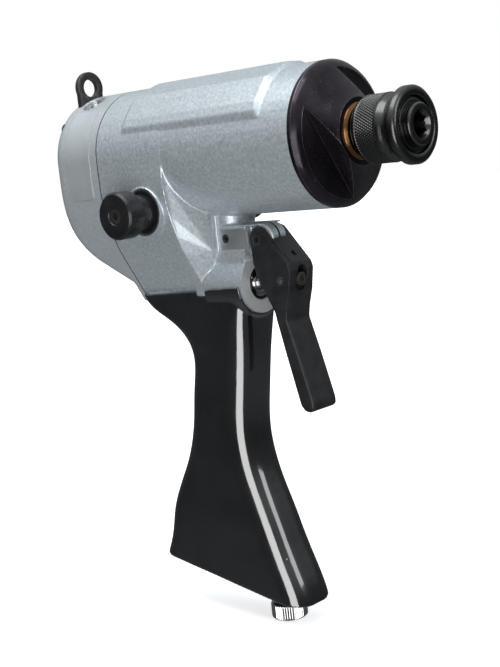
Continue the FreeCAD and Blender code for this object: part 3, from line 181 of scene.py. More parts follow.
def cast_skin(obj, voxel, rounds):
    """Turns joined solids into one skin with the soft inner and outer corners of a casting."""
    skin = obj.modifiers.new("skin", "REMESH")
    skin.mode = "VOXEL"
    skin.voxel_size = voxel * MM
    bake(obj)
    largest_shell(obj)
    soft = obj.modifiers.new("soft", "SMOOTH")
    soft.factor = 0.5
    soft.iterations = rounds
    return bake(obj)


def shade(obj, angle=35):
    obj.data.polygons.foreach_set("use_smooth", [True] * len(obj.data.polygons))
    obj.data.set_sharp_from_angle(angle=math.radians(angle))
    return obj


def bevelled(obj, width, angle=35, segments=2, material_slot=-1):
    edge = obj.modifiers.new("edge", "BEVEL")
    edge.material = material_slot
    edge.width = width * MM
    edge.segments = segments
    edge.limit_method = "ANGLE"
    edge.angle_limit = math.radians(angle)
    edge.miter_outer = "MITER_ARC"
    return bake(obj)


def rounded(points, radius, steps=3, keep_ends=False):
    """A closed outline with every corner rounded as far as its sides allow."""
    result = []
    count = len(points)
    for i, corner in enumerate(points):
        here = np.array(corner, float)
        back = np.array(points[i - 1], float) - here
        ahead = np.array(points[(i + 1) % count], float) - here
        back_length, ahead_length = np.linalg.norm(back), np.linalg.norm(ahead)
        if (keep_ends and corner[1] == 0) or back_length < 1e-9 or ahead_length < 1e-9:
            result.append(tuple(here))
            continue
        back, ahead = back / back_length, ahead / ahead_length
        bend = math.acos(max(-1.0, min(1.0, float(np.dot(back, ahead)))))
        if bend > math.radians(165):
            result.append(tuple(here))
            continue
        run = min(radius / math.tan(bend / 2), 0.42 * back_length, 0.42 * ahead_length)
        first, last = here + back * run, here + ahead * run
        for step in range(steps + 1):
            t = step / steps
            result.append(tuple((1 - t) ** 2 * first + 2 * t * (1 - t) * here + t * t * last))
    return result


def lathe(name, points, along=X, centre=(0, 0, 0), steps=96, material=None, relief=None, round_by=0.0):
    """A turned solid. points is a closed outline of (place along the axis, radius).

    relief adds to the radius."""
    if round_by:
        points = rounded(points, round_by, keep_ends=True)
    area = sum(points[i - 1][0] * p[1] - p[0] * points[i - 1][1] for i, p in enumerate(points))
    if area > 0:
        points = points[::-1]
    verts, rings = [], []
    others = [axis for axis in (X, Y, Z) if axis != along]
    flip = along == Y
    for place, radius in points:
        if radius < 1e-6:
            point = list(centre)
            point[along] += place
            rings.append([len(verts)] * steps)
            verts.append(point)
            continue
        ring = []
        for step in range(steps):
            angle = 2 * math.pi * step / steps
            reach = radius + (relief(place, radius, angle) if relief else 0.0)
            point = list(centre)
            point[along] += place
            point[others[0]] += reach * math.cos(angle)
            point[others[1]] += reach * math.sin(angle)
            ring.append(len(verts))
            verts.append(point)
        rings.append(ring)
    faces = []
    for i, ring in enumerate(rings):
        before = rings[i - 1]
        for step in range(steps):
            after = (step + 1) % steps
            loop = [before[step], before[after], ring[after], ring[step]]
            loop = [v for k, v in enumerate(loop) if v != loop[k - 1]]
            if len(set(loop)) >= 3:
                faces.append(loop[::-1] if flip else loop)
    obj = new_object(name, verts, faces, material)
    fix_outward(obj)
    return obj


def fix_outward(obj):
    work = bmesh.new()
    work.from_mesh(obj.data)
    bmesh.ops.recalc_face_normals(work, faces=work.faces)
    work.to_mesh(obj.data)
    work.free()


def rod(name, radius, start, end, along=X, centre=(0, 0, 0), steps=64, material=None):
    return lathe(name, [(start, 0), (start, radius), (end, radius), (end, 0)], along, centre, steps, material)


def box(name, low, high, material=None, turn=None, about=(0, 0, 0)):
    verts = [(x, y, z) for x in (low[0], high[0]) for y in (low[1], high[1]) for z in (low[2], high[2])]
    faces = [(0, 1, 3, 2), (4, 6, 7, 5), (0, 4, 5, 1), (2, 3, 7, 6), (0, 2, 6, 4), (1, 5, 7, 3)]
    if turn is not None:
        verts = [tuple(turn @ Vector(v) + Vector(about)) for v in verts]
    obj = new_object(name, verts, faces, material)
    fix_outward(obj)
    return obj


def prism(name, outline, low, high, along=X, material=None):
    """A closed outline pushed along an axis."""
    count = len(outline)
    verts = []
    for level in (low, high):
        for u, v in outline:
            point = [0.0, 0.0, 0.0]
            others = [axis for axis in (X, Y, Z) if axis != along]
            point[along], point[others[0]], point[others[1]] = level, u, v
            verts.append(point)
    faces = [list(range(count)), list(range(2 * count - 1, count - 1, -1))]
    faces += [[i, (i + 1) % count, count + (i + 1) % count, count + i] for i in range(count)]
    obj = new_object(name, verts, faces, material)
    fix_outward(obj)
    return obj


def hull(name, points):
    """The smallest convex solid round some points."""
    obj = new_object(name, points, [])
    work = bmesh.new()
    work.from_mesh(obj.data)
    bmesh.ops.convex_hull(work, input=work.verts)
    bmesh.ops.delete(work, geom=[v for v in work.verts if not v.link_faces], context="VERTS")
    work.to_mesh(obj.data)
    work.free()
    fix_outward(obj)
    return obj


def between(name, first, last, radius, material=None, steps=32):
    """A round bar from one point to another."""
    first, last = Vector(first), Vector(last)
    turn = (last - first).to_track_quat("Z", "Y").to_matrix()
    obj = rod(name, radius, 0, (last - first).length, Z, steps=steps, material=material)
    obj.data.transform(Matrix.Translation(first * MM) @ turn.to_4x4())
    return obj


def curvature(obj, rounds=2):
    """Keeps how sharply the surface bends outwards at each point, for lighter edges that stand for wear and
    painted highlight.
    """
    mesh = obj.data
    count = len(mesh.vertices)
    co = np.empty(count * 3)
    mesh.vertices.foreach_get("co", co)
    co = co.reshape(-1, 3)
    normal = np.empty(count * 3)
    mesh.vertex_normals.foreach_get("vector", normal)
    normal = normal.reshape(-1, 3)
    pairs = np.empty(len(mesh.edges) * 2, np.int64)
    mesh.edges.foreach_get("vertices", pairs)
    pairs = pairs.reshape(-1, 2)
    first, last = pairs[:, 0], pairs[:, 1]
    run = co[last] - co[first]
    length = np.linalg.norm(run, axis=1) + 1e-9
    bend = np.zeros(count)
    weight = np.zeros(count)
    np.add.at(bend, first, -(run * normal[first]).sum(1) / length)
    np.add.at(bend, last, (run * normal[last]).sum(1) / length)
    np.add.at(weight, first, 1)
    np.add.at(weight, last, 1)
    bend /= np.maximum(weight, 1)
    for _ in range(rounds):
        total = np.zeros(count)
        np.add.at(total, first, bend[last])
        np.add.at(total, last, bend[first])
        bend = 0.5 * bend + 0.5 * total / np.maximum(weight, 1)
    field = mesh.attributes.get("edge") or mesh.attributes.new("edge", "FLOAT", "POINT")
    field.data.foreach_set("value", bend.astype(np.float32))
    return obj


def displace(obj, texture_size, strength):
    """Moves points along their normals by smooth noise, in millimetres."""
    mesh = obj.data
    count = len(mesh.vertices)
    co, normal = np.empty(count * 3), np.empty(count * 3)
    mesh.vertices.foreach_get("co", co)
    mesh.vertex_normals.foreach_get("vector", normal)
    co, normal = co.reshape(-1, 3), normal.reshape(-1, 3)
    points = co / (texture_size * MM)
    amount = np.array([noise.noise(point) for point in points]) * strength * MM
    mesh.vertices.foreach_set("co", (co + normal * amount[:, None]).ravel())
    mesh.update()
    return obj


# ---------------------------------------------------------------- materials

class Nodes:
    """A material's node tree, built a node at a time."""

    def __init__(self, name):
        self.material = bpy.data.materials.new(name)
        self.material.use_nodes = True
        self.tree = self.material.node_tree
        self.surface = self.tree.nodes["Principled BSDF"]
        self.place = self.tree.nodes.new("ShaderNodeTexCoord").outputs["Object"]

    def node(self, kind, **values):
        made = self.tree.nodes.new("ShaderNode" + kind)
        for key, value in values.items():
            setattr(made, key, value)
        return made

    def link(self, source, target):
        self.tree.links.new(source, target)

    def noise(self, scale, detail=3.0, rough=0.55, stretch=None):
        made = self.node("TexNoise")
        made.inputs["Scale"].default_value = scale
        made.inputs["Detail"].default_value = detail
        made.inputs["Roughness"].default_value = rough
        self.link(self.stretched(stretch), made.inputs["Vector"])
        return made.outputs["Fac"]

    def stretched(self, stretch):
        if stretch is None:
            return self.place
        made = self.node("Mapping")
        made.inputs["Scale"].default_value = stretch
        self.link(self.place, made.inputs["Vector"])
        return made.outputs["Vector"]

    def ramp(self, source, stops):
        made = self.node("ValToRGB")
        band = made.color_ramp
        while len(band.elements) < len(stops):
            band.elements.new(0.5)
        for element, (place, colour) in zip(band.elements, stops):
            element.position = place
            grey = isinstance(colour, (int, float))
            element.color = (colour,) * 3 + (1,) if grey else tuple(colour) + (1,)
        self.link(source, made.inputs["Fac"])
        return made.outputs["Color"]

    def mix(self, share, first, last):
        made = self.node("Mix", data_type="RGBA")
        self.link(share, made.inputs["Factor"])
        for socket, value in ((made.inputs[6], first), (made.inputs[7], last)):
            if isinstance(value, tuple):
                socket.default_value = value + (1,)
            else:
                self.link(value, socket)
        return made.outputs[2]

    def maths(self, operation, first, last):
        made = self.node("Math", operation=operation)
        for socket, value in zip(made.inputs, (first, last)):
            if isinstance(value, (int, float)):
                socket.default_value = value
            else:
                self.link(value, socket)
        return made.outputs[0]

    def bump(self, layers):
        """Layers of (height, strength, depth in millimetres)."""
        last = None
        for height, strength, depth in layers:
            made = self.node("Bump")
            made.inputs["Strength"].default_value = strength
            made.inputs["Distance"].default_value = depth * MM
            self.link(height, made.inputs["Height"])
            if last is not None:
                self.link(last, made.inputs["Normal"])
            last = made.outputs["Normal"]
        self.link(last, self.surface.inputs["Normal"])

    def edges(self, low, high):
        """0 to 1 along outward edges, from the mesh."""
        made = self.node("Attribute", attribute_name="edge")
        return self.ramp(made.outputs["Fac"], [(low, 0.0), (high, 1.0)])

    def set(self, **values):
        for key, value in values.items():
            socket = self.surface.inputs[key.replace("_", " ")]
            if isinstance(value, (int, float)):
                socket.default_value = value
            elif isinstance(value, tuple):
                socket.default_value = value + (1,)
            else:
                self.link(value, socket)
        return self.material


def hammertone():
    """Silver-grey hammer-finish paint on a sand casting."""
    n = Nodes("hammertone_paint")
    grain = n.noise(650, 3, 0.6)
    patches = n.noise(90, 2, 0.5)
    shades = [(0.30, (0.37, 0.42, 0.45)), (0.5, (0.48, 0.53, 0.56)), (0.70, (0.62, 0.66, 0.68))]
    mottle = n.ramp(grain, shades)
    tone = n.mix(n.ramp(patches, [(0.3, 0.0), (0.7, 0.35)]), mottle, (0.50, 0.54, 0.56))
    # Painted highlight mixed with edge wear: outward edges turn near white in patches.
    wear_and_gleam = n.maths("MULTIPLY", n.edges(0.10, 0.28), n.ramp(n.noise(260, 3), [(0.35, 0.3), (0.6, 1.0)]))
    colour = n.mix(wear_and_gleam, tone, (0.86, 0.88, 0.89))
    n.bump([(n.noise(1300, 2), 0.15, 0.08), (grain, 0.40, 0.18)])
    rough = n.ramp(grain, [(0.3, 0.32), (0.7, 0.42)])
    return n.set(Base_Color=colour, Metallic=0.55, Roughness=rough, Specular_IOR_Level=0.6)


def satin_paint():
    """The smoother painted cover."""
    n = Nodes("satin_paint")
    grain = n.noise(800, 3, 0.6)
    mottle = n.ramp(grain, [(0.3, (0.42, 0.455, 0.475)), (0.7, (0.55, 0.585, 0.60))])
    # Painted highlight mixed with edge wear: outward edges turn near white in patches.
    wear_and_gleam = n.maths("MULTIPLY", n.edges(0.10, 0.28), n.ramp(n.noise(260, 3), [(0.35, 0.3), (0.6, 1.0)]))
    colour = n.mix(wear_and_gleam, mottle, (0.86, 0.88, 0.89))
    n.bump([(grain, 0.25, 0.12)])
    return n.set(Base_Color=colour, Metallic=0.5, Roughness=0.42, Specular_IOR_Level=0.6)


def metal(name, colour, rough, spread=0.08, scratch=(1, 1, 1), shade_by=0.25, bump=0.08, metallic=1.0):
    """Machined or ground metal with fine lines and cloudy wear."""
    n = Nodes(name)
    lines = n.noise(900, 4, 0.7, scratch)
    clouds = n.noise(60, 3)
    dark = tuple(c * (1 - shade_by) for c in colour)
    tone = n.ramp(clouds, [(0.35, dark), (0.65, colour)])
    n.bump([(lines, bump * 4, 0.05)])
    wear_and_gleam = n.ramp(lines, [(0.3, max(rough - spread, 0.04)), (0.7, rough + spread)])
    return n.set(Base_Color=tone, Metallic=metallic, Roughness=wear_and_gleam)


def glossy_black():
    """Polished black oxide with dust specks and a violet cast."""
    n = Nodes("polished_black")
    specks = n.ramp(n.noise(1500, 1), [(0.70, 0.0), (0.76, 1.0)])
    tone = n.ramp(n.noise(45, 3), [(0.35, (0.012, 0.010, 0.014)), (0.65, (0.035, 0.026, 0.036))])
    # Painted highlight mixed with edge wear: outward edges turn grey on the black in patches.
    wear_and_gleam = n.maths("MULTIPLY", n.edges(0.14, 0.34), n.ramp(n.noise(300, 3), [(0.35, 0.2), (0.6, 1.0)]))
    colour = n.mix(n.maths("MULTIPLY", specks, 0.35), tone, (0.4, 0.38, 0.4))
    colour = n.mix(n.maths("MULTIPLY", wear_and_gleam, 0.55), colour, (0.55, 0.54, 0.56))
    n.bump([(n.noise(500, 3), 0.06, 0.05)])
    rough = n.ramp(n.noise(140, 3), [(0.3, 0.16), (0.7, 0.30)])
    return n.set(Base_Color=colour, Metallic=0.75, Roughness=rough, Specular_IOR_Level=0.6)


def anodised(name, colour, rough, wear=0.4):
    """Black anodised or oxide finish, paler on its edges as wear and painted highlight."""
    n = Nodes(name)
    grain = n.noise(1200, 3)
    dark, light = tuple(c * 0.7 for c in colour), tuple(c * 1.35 for c in colour)
    tone = n.ramp(n.noise(120, 3), [(0.3, dark), (0.7, light)])
    # Painted highlight mixed with edge wear: outward edges turn paler in patches.
    wear_and_gleam = n.maths("MULTIPLY", n.edges(0.12, 0.30), n.ramp(n.noise(350, 3), [(0.35, 0.1), (0.62, 1.0)]))
    colour_out = n.mix(n.maths("MULTIPLY", wear_and_gleam, wear), tone, (0.5, 0.5, 0.5))
    n.bump([(grain, 0.18, 0.05)])
    roughness = n.ramp(grain, [(0.3, rough - 0.06), (0.7, rough + 0.08)])
    return n.set(Base_Color=colour_out, Metallic=0.35, Roughness=roughness)


def vinyl():
    """Thick dipped vinyl: wet gloss with a slow ripple and a few dust marks."""
    n = Nodes("dipped_vinyl")
    tone = n.ramp(n.noise(30, 3), [(0.3, (0.006, 0.006, 0.007)), (0.7, (0.012, 0.012, 0.014))])
    dust = n.ramp(n.noise(1100, 1), [(0.72, 0.0), (0.78, 1.0)])
    colour = n.mix(n.maths("MULTIPLY", dust, 0.12), tone, (0.25, 0.25, 0.26))
    n.bump([(n.noise(35, 2), 0.25, 0.35), (n.noise(380, 2), 0.05, 0.05)])
    rough = n.ramp(n.noise(80, 3), [(0.3, 0.10), (0.7, 0.19)])
    return n.set(Base_Color=colour, Roughness=rough, Specular_IOR_Level=0.8, Coat_Weight=1.0, Coat_IOR=1.8,
                 Coat_Roughness=0.06)


def rubber(name, colour):
    n = Nodes(name)
    grain = n.noise(900, 3)
    tone = n.ramp(grain, [(0.3, tuple(c * 0.7 for c in colour)), (0.7, tuple(c * 1.4 for c in colour))])
    n.bump([(grain, 0.3, 0.08)])
    return n.set(Base_Color=tone, Roughness=0.75)


PAINT = hammertone()
COVER = satin_paint()
MACHINED = metal("machined_aluminium", (0.74, 0.76, 0.78), 0.30, scratch=(1, 1, 6), bump=0.12)
BORE = metal("bored_aluminium", (0.45, 0.47, 0.48), 0.40, scratch=(6, 1, 1), bump=0.12)
PAD_FACE = metal("machined_pad", (0.58, 0.61, 0.63), 0.34, scratch=(6, 1, 1), bump=0.08, metallic=0.8)
GALVANISED = metal("galvanised_ring", (0.74, 0.77, 0.77), 0.40, shade_by=0.2, bump=0.06, metallic=0.5)
LABEL = metal("blank_label", (0.60, 0.63, 0.65), 0.36, metallic=0.6, bump=0.03, shade_by=0.08)
NOSE = glossy_black()
# Bevelled nose edges in grey metal: edge wear and painted edge highlight.
NOSE_EDGE = metal("nose_edge_wear_and_highlight", (0.34, 0.32, 0.35), 0.28, metallic=0.9, bump=0.05)
KNOB = anodised("black_anodised", (0.016, 0.016, 0.018), 0.30, 0.5)
OXIDE = anodised("black_oxide", (0.035, 0.033, 0.031), 0.38, 0.35)
LEVER = anodised("lever_black", (0.022, 0.022, 0.023), 0.42, 0.8)
GUNMETAL = metal("gunmetal", (0.105, 0.105, 0.10), 0.26, spread=0.07, scratch=(4, 1, 1), bump=0.1)
STEEL = metal("ground_steel", (0.60, 0.61, 0.62), 0.24, scratch=(1, 5, 5))
DARK_STEEL = metal("dark_steel", (0.16, 0.155, 0.15), 0.30)
CHROME = metal("bright_plate", (0.80, 0.80, 0.79), 0.10, spread=0.05, shade_by=0.12, bump=0.03)
# Bronze colour darkened about threefold as painted shade, for the bush in the chuck's shadow; the wear plate
# and thrust washer share it.
SHADED_BRONZE = metal("bearing_bronze_painted_shade", (0.19, 0.10, 0.042), 0.26, scratch=(6, 1, 1), bump=0.08)
VINYL = vinyl()
SEAL = rubber("seal_rubber", (0.02, 0.02, 0.02))
GASKET = rubber("gasket_sheet", (0.035, 0.04, 0.045))


# ---------------------------------------------------------------- shared shapes

def teardrop(inset=0.0):
    """The neck's outline across the tool: a circle that runs down into a wedge."""
    radius, bend, angle = 38.2 - inset, 90.6 - inset, math.radians(30)
    side, bottom = -12.0, -84.0 + inset
    right = [(radius * math.cos(a), radius * math.sin(a)) for a in np.linspace(math.pi / 2, 0, 33)]
    right += [(radius - bend * (1 - math.cos(a)), side - bend * math.sin(a))
              for a in np.linspace(0, angle, 17)]
    end_y, end_z = right[-1]
    right.append((end_y - (end_z - bottom) * math.tan(angle), bottom))
    left = [(-y, z) for y, z in reversed(right[1:])]
    return right + left


def slanted(x, z, degrees, below, material=None, front=400.0):
    """Everything below, or above, a plane across the tool whose front end is tilted up."""
    turn = Matrix.Rotation(math.radians(-degrees), 3, "Y")
    low, high = ((-400, -200, -200), (front, 200, 0)) if below else ((-400, -200, 0), (front, 200, 400))
    return box("slant", low, high, material, turn, (x, 0, z))


def foot_point(x, inward=0.0):
    slope = math.tan(math.radians(10.5))
    return Vector((x, 0, -245.8 - (x + 111) * slope)) + Vector((0.18224, 0, 0.98325)) * inward


def threaded_port(x, material):
    """A cutter with a thread's ridges, square to the foot's face."""
    profile = [(-6, 0), (-6, 10.6), (0.0, 10.6), (1.2, 9.35)]
    for turn in range(9):
        start = 1.2 + turn * 1.6
        profile += [(start + 0.8, 8.75), (start + 1.6, 9.35)]
    profile += [(15.8, 8.7), (17, 8.7), (17, 0)]
    cutter = lathe("port_cutter", profile, Z, steps=64, material=material)
    turn = Matrix.Rotation(math.radians(10.5), 4, "Y")
    cutter.data.transform(Matrix.Translation(foot_point(x) * MM) @ turn)
    return cutter


# ---------------------------------------------------------------- castings

NECK_FACET = [(x, side * y, z) for side in (-1, 1) for x, y, z in (
    (-91.5, 38, -12), (-91.5, 35.7, -33), (-91.5, 32, -45), (-91.5, 26, -57.3), (-91.5, 14.4, -77.5),
    (-80, 16.5, -30), (-80, 16.5, -55.5))]
SIDE_PAD = rounded([(-77, -55.5), (-57.2, -55.5), (-57.2, -44.5), (-77, -44.5)], 2.5, 5)


def main_housing():
    """Barrel, neck, boss and lugs with a cast skin, then machined where the real one is."""
    cast = copy_of("main_housing", "housing_cast")
    boolean(cast, [box("cut", (-78.6, -13, -42.6), (-50, 13, -30))])
    solid = [cast]
    solid += [
        lathe("fill", [(-84, 0), (-84, 37.91), (-44, 37.72), (-44, 0)], steps=128),
        rod("fill", 12.0, -46, -30, Z, (-78.6, 0, 0), 64),
        hull("fill", NECK_FACET),
        rod("fill", 37.51, -4, 4, steps=128),
        rod("fill", 34.0, -100, 1, steps=96),
        rod("fill", 22.0, -128, -96),
        prism("fill", teardrop(), -146, -124),
        rod("fill", 13.2, -39.6, 39.6, Y, SPOOL, steps=96),
        rod("fill", 16.9, -97, -60, X, VALVE, steps=96),
        rod("fill", 11.0, -118, -90, X, VALVE),
        box("fill", (-77, -13.4, -55.5), (-60.6, 13.4, -44.5)),
        prism("fill", SIDE_PAD, -13.4, -10.3, Y),
        prism("fill", SIDE_PAD, 10.3, 13.4, Y),
        rod("fill", 8.45, -2, 2, Y, LEVER_PIVOT),
        box("fill", (-66, -2, -59.4), (-53, 2, -42.8)),
        rod("fill", 4.0, -4, 4, Y, LEVER_PIVOT),
        between("fill", (-67, 0, -242), (-67, 0, -205), 4.0),
        between("fill", (-67, 0, -206), (-90, 0, -188), 4.5),
        box("fill", (-78.6, -10.8, -241), (-55, 10.8, -230)),
    ]
    for side in (-1, 1):
        solid.append(rod("fill", 4.2, -78, -30, Z, (-108.2, 4.95 * side, 0)))
        solid.append(rod("fill", 4.0, -127, -104, X, (0, 8 * side, -34.5)))
    for port_x, waist_x, top_x in ((-131, -107, -104), (-103, -88, -84)):
        floor = foot_point(port_x, 17)
        solid.append(between("fill", foot_point(port_x, -1), foot_point(port_x, 18.5), 9.6))
        solid.append(between("fill", floor, (waist_x, 0, -164), 5.6))
        solid.append(between("fill", (waist_x, 0, -167), (top_x, 0, -72), 5.6))
    obj = joined("housing_cast", solid)
    cast_skin(obj, CAST_VOXEL, detail(4, 2))
    obj.data.materials.clear()
    obj.data.materials.append(PAINT)
    tools = [
        lathe("cut", [(-98, 0), (-98, 31), (-14, 31), (-14, 33), (-0.5, 33), (0.0, 33.5), (0, 50),
                      (9, 50), (9, 0)],
              steps=160, material=BORE),
        box("cut", (-160, -60, -120), (-142, 60, 60), MACHINED),
        rod("cut", 14.08, -143, -125.2, X, SPINDLE, 64, BORE),
        rod("cut", 14.08, -143, -125.2, X, IDLER, 64, BORE),
        rod("cut", 8.3, -126, -110, X, SPINDLE, 64, BORE),
        rod("cut", 21.05, -107, -97, X, SPINDLE, 64, BORE),
        rod("cut", 13.05, -114, -106, X, SPINDLE, 64, BORE),
        lathe("cut", [(-48, 0), (-48, 17), (-38.8, 17), (-38.8, 12.2), (-38.3, 11.8), (-27, 11.8),
                      (-27, 8.05), (27, 8.05), (27, 11.8), (38.3, 11.8), (38.8, 12.2), (38.8, 17),
                      (48, 17), (48, 0)],
              Y, SPOOL, 96, MACHINED),
        box("cut", (-61, -19, -96), (-54, 19, -59.7), GALVANISED),
        lathe("cut", [(-117, 0), (-117, 9.4), (-61.6, 9.4), (-60.9, 10.1), (-58, 10.1), (-58, 0)],
              X, VALVE, 96, BORE),
        box("cut", (-80, -18, -58), (-56.9, -12.8, -42.5), PAD_FACE),
        box("cut", (-80, 12.8, -58), (-56.9, 18, -42.5), PAD_FACE),
        rod("cut", 2.5, -16, -3, Y, (-72.9, 0, -49.5), 32, BORE),
        rod("cut", 3.0, -16, 16, Y, LEVER_PIVOT, 48, BORE),
        box("cut", (-62, -0.7, -62), (-42, 0.7, -40), BORE),
        slanted(-111, -245.8, -10.5, True, MACHINED),
        box("cut", (-80, -12.6, -300), (-54, 12.6, -241), BORE),
        threaded_port(-131, BORE),
        threaded_port(-103, BORE),
    ]
    boolean(obj, tools)
    shade(obj, 40)
    curvature(obj)
    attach(obj, "housing")
    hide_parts("main_housing")
    return obj


CAP_SCREWS = [(26, 20), (-26, 20), (25, -38), (-25, -38)]


def rear_cap():
    solid = [copy_of("rear_cap", "cap_cast"), prism("fill", teardrop(), -147, -139)]
    obj = joined("cap_cast", solid)
    cast_skin(obj, CAST_VOXEL, detail(4, 2))
    obj.data.materials.clear()
    obj.data.materials.append(COVER)
    turn = Matrix.Rotation(math.radians(27), 4, "X")
    tools = [box("cut", (-142.8, -60, -120), (-130, 60, 60), MACHINED),
             rod("cut", 9.0, -171.6, -144, X, SPINDLE, 64, BORE),
             rod("cut", 9.0, -171.6, -144, X, IDLER, 64, BORE),
             box("cut", (-175.05, -19.45, 30.4), (-171.55, -1.75, 60), MACHINED)]
    for y, z in CAP_SCREWS:
        tools.append(rod("cut", 4.6, -190, -174.6, X, (0, y, z), 48, MACHINED))
        tools.append(rod("cut", 2.8, -176, -140, X, (0, y, z), 32, BORE))
    for radius, depth, high in ((6.9, 35.4, 60), (5.95, 31.9, 60)):
        cutter = rod("cut", radius, depth, high, Z, (-163, 0, 0), 64, MACHINED)
        cutter.data.transform(turn)
        tools.append(cutter)
    boolean(obj, tools)
    shade(obj, 40)
    curvature(obj)
    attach(obj, "housing")
    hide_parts("rear_cap")
    return obj


def grip():
    obj = copy_of("grip", "grip_skin")
    cast_skin(obj, CAST_VOXEL, detail(9, 4))
    obj.data.materials.clear()
    obj.data.materials.append(VINYL)
    displace(obj, 22, 0.22)
    shade(obj, 60)
    curvature(obj)
    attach(obj, "housing")
    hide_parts("grip")
    return obj


# ---------------------------------------------------------------- turned pieces

def wave(t):
    """A triangle wave between 0 and 1."""
    t = t % 1.0
    return 2 * t if t < 0.5 else 2 - 2 * t


def chuck_sleeve():
    """Quick-change collar with a diamond knurl between smooth turned rings."""
    r, f, s = 17.2, 19.1, 21.0
    around, depth, low, high = 78, 0.42, s + 4.2, s + 15.8

    def knurl(place, radius, angle):
        if radius < r - 0.05 or not low - 0.01 <= place <= high + 0.01:
            return 0.0
        turn = angle * around / (2 * math.pi)
        climb = (place - low) * 0.42
        ridge = min(wave(turn + climb), wave(turn - climb))
        ends = min(1.0, (place - low) / 0.5, (high - place) / 0.5)
        return -depth * (1 - ridge) * max(ends, 0.0) ** 0.5

    profile = [(s, 13), (s, r - 3), (s + 0.8, r - 2), (s + 1.9, r - 1.0), (s + 4, r)]
    profile += [(float(p), r) for p in np.arange(low, high + 0.01, 0.2)]
    profile += [(s + 16, r), (s + 16.4, r - 0.6), (s + 18.4, r - 0.6), (s + 19.2, r - 1.4),
                (s + 21.4, r - 1.4), (s + 23.4, r - 0.3), (s + 24.6, f - 0.6), (s + 25.2, f),
                (49.4, f), (50.6, f - 1.2), (50.6, 14.6), (50.2, 14.2), (s + 16.2, 14.2),
                (s + 16.2, 10.65), (s + 10, 10.65), (s + 10, 13)]
    obj = lathe("chuck_sleeve_knurled", profile, steps=detail(624, 156), material=GUNMETAL,
                relief=knurl)
    shade(obj, 50)
    curvature(obj, 0)
    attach(obj, "chuck_collar")
    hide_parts("chuck_sleeve")


def reversing_knobs():
    pieces = []
    for side, end in ((-1, -38.0), (1, 28.2)):
        def at(distance):
            return end + side * distance
        profile = [(at(0), 5.02), (at(0), 9.98), (at(11), 9.98), (at(11), 12.2), (at(11.8), 13),
                   (at(20.6), 13), (at(22), 11.8), (at(22), 5.0), (at(21.4), 4.4), (at(17), 4.4),
                   (at(17), 2.2), (at(7.1), 2.2), (at(7.1), 5.02)]
        knob = lathe("knob", profile, Y, SPOOL, 128, KNOB, round_by=0.35)
        hole = rod("cut", 1.3, 8, 16, Z, (SPOOL[X], at(16.5), SPOOL[Z]), 24, KNOB)
        boolean(knob, [hole])
        pieces.append(knob)
    obj = joined("reversing_knobs_turned", pieces)
    obj.data.materials.append(KNOB)
    shade(obj, 40)
    curvature(obj, 1)
    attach(obj, "reverser")
    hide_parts("reversing_knobs")


def flow_knob():
    """Thumb knob with straight knurling and a turned stem."""
    around, depth = 44, 0.55

    def knurl(place, radius, angle):
        if radius < 10.3:
            return 0.0
        return -depth * (1 - wave(angle * around / (2 * math.pi)) ** 0.7)

    profile = [(-269.5, 0), (-269.5, 8.4), (-269.2, 9.4), (-268.6, 10.2), (-268.2, 10.4)]
    profile += [(float(p), 10.4) for p in np.arange(-267.8, -261.1, 0.6)]
    profile += [(-261.0, 10.4), (-260.6, 10.2), (-260.1, 9.4), (-259.8, 8.4), (-259.8, 5.8), (-259.3, 5.4),
                (-257.2, 5.2), (-256.4, 5.0), (-256.0, 4.0), (-243.7, 4.0), (-243.7, 0)]
    obj = lathe("flow_knob_turned", profile, Z, (-67, 0, 0), detail(352, 88), CHROME, knurl)
    shade(obj, 45)
    curvature(obj, 0)
    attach(obj, "flow_control")
    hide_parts("flow_knob")


# ---------------------------------------------------------------- lever, eye and other bevelled pieces

def soften_below(obj, level, fade, rounds):
    """Rounds off the part of a mesh that lies below a level, easing in over fade millimetres."""
    group = obj.vertex_groups.new(name="soft")
    for vert in obj.data.vertices:
        share = max(0.0, min(1.0, (level - vert.co.z / MM) / fade))
        if share > 0:
            group.add([vert.index], share, "REPLACE")
    soft = obj.modifiers.new("soft", "SMOOTH")
    soft.factor = 0.5
    soft.iterations = rounds
    soft.vertex_group = "soft"
    return bake(obj)


def trigger():
    obj = copy_of("trigger_lever", "trigger_lever_cast")
    cast_skin(obj, LEVER_VOXEL, detail(3, 2))
    soften_below(obj, -90, 8, detail(60, 12))
    obj.data.materials.clear()
    obj.data.materials.append(LEVER)
    boolean(obj, [rod("cut", 3.06, -16, 16, Y, LEVER_PIVOT, 48, LEVER),
                  rod("cut", 2.52, -16, 16, Y, CROSS_PIN, 48, LEVER)])
    shade(obj, 45)
    curvature(obj)
    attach(obj, "trigger")
    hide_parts("trigger_lever")


def edged(node, name, body, material, width, angle=30, edge_material=None):
    """A CAD piece with its sharp edges broken; edge_material, where given, lightens the bevels as wear and
    painted highlight.
    """
    obj = copy_of(node, name)
    obj.data.materials.append(material)
    if edge_material:
        obj.data.materials.append(edge_material)
    bevelled(obj, width, angle, material_slot=1 if edge_material else -1)
    shade(obj, 30)
    curvature(obj, 0)
    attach(obj, body)
    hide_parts(node)
    return obj


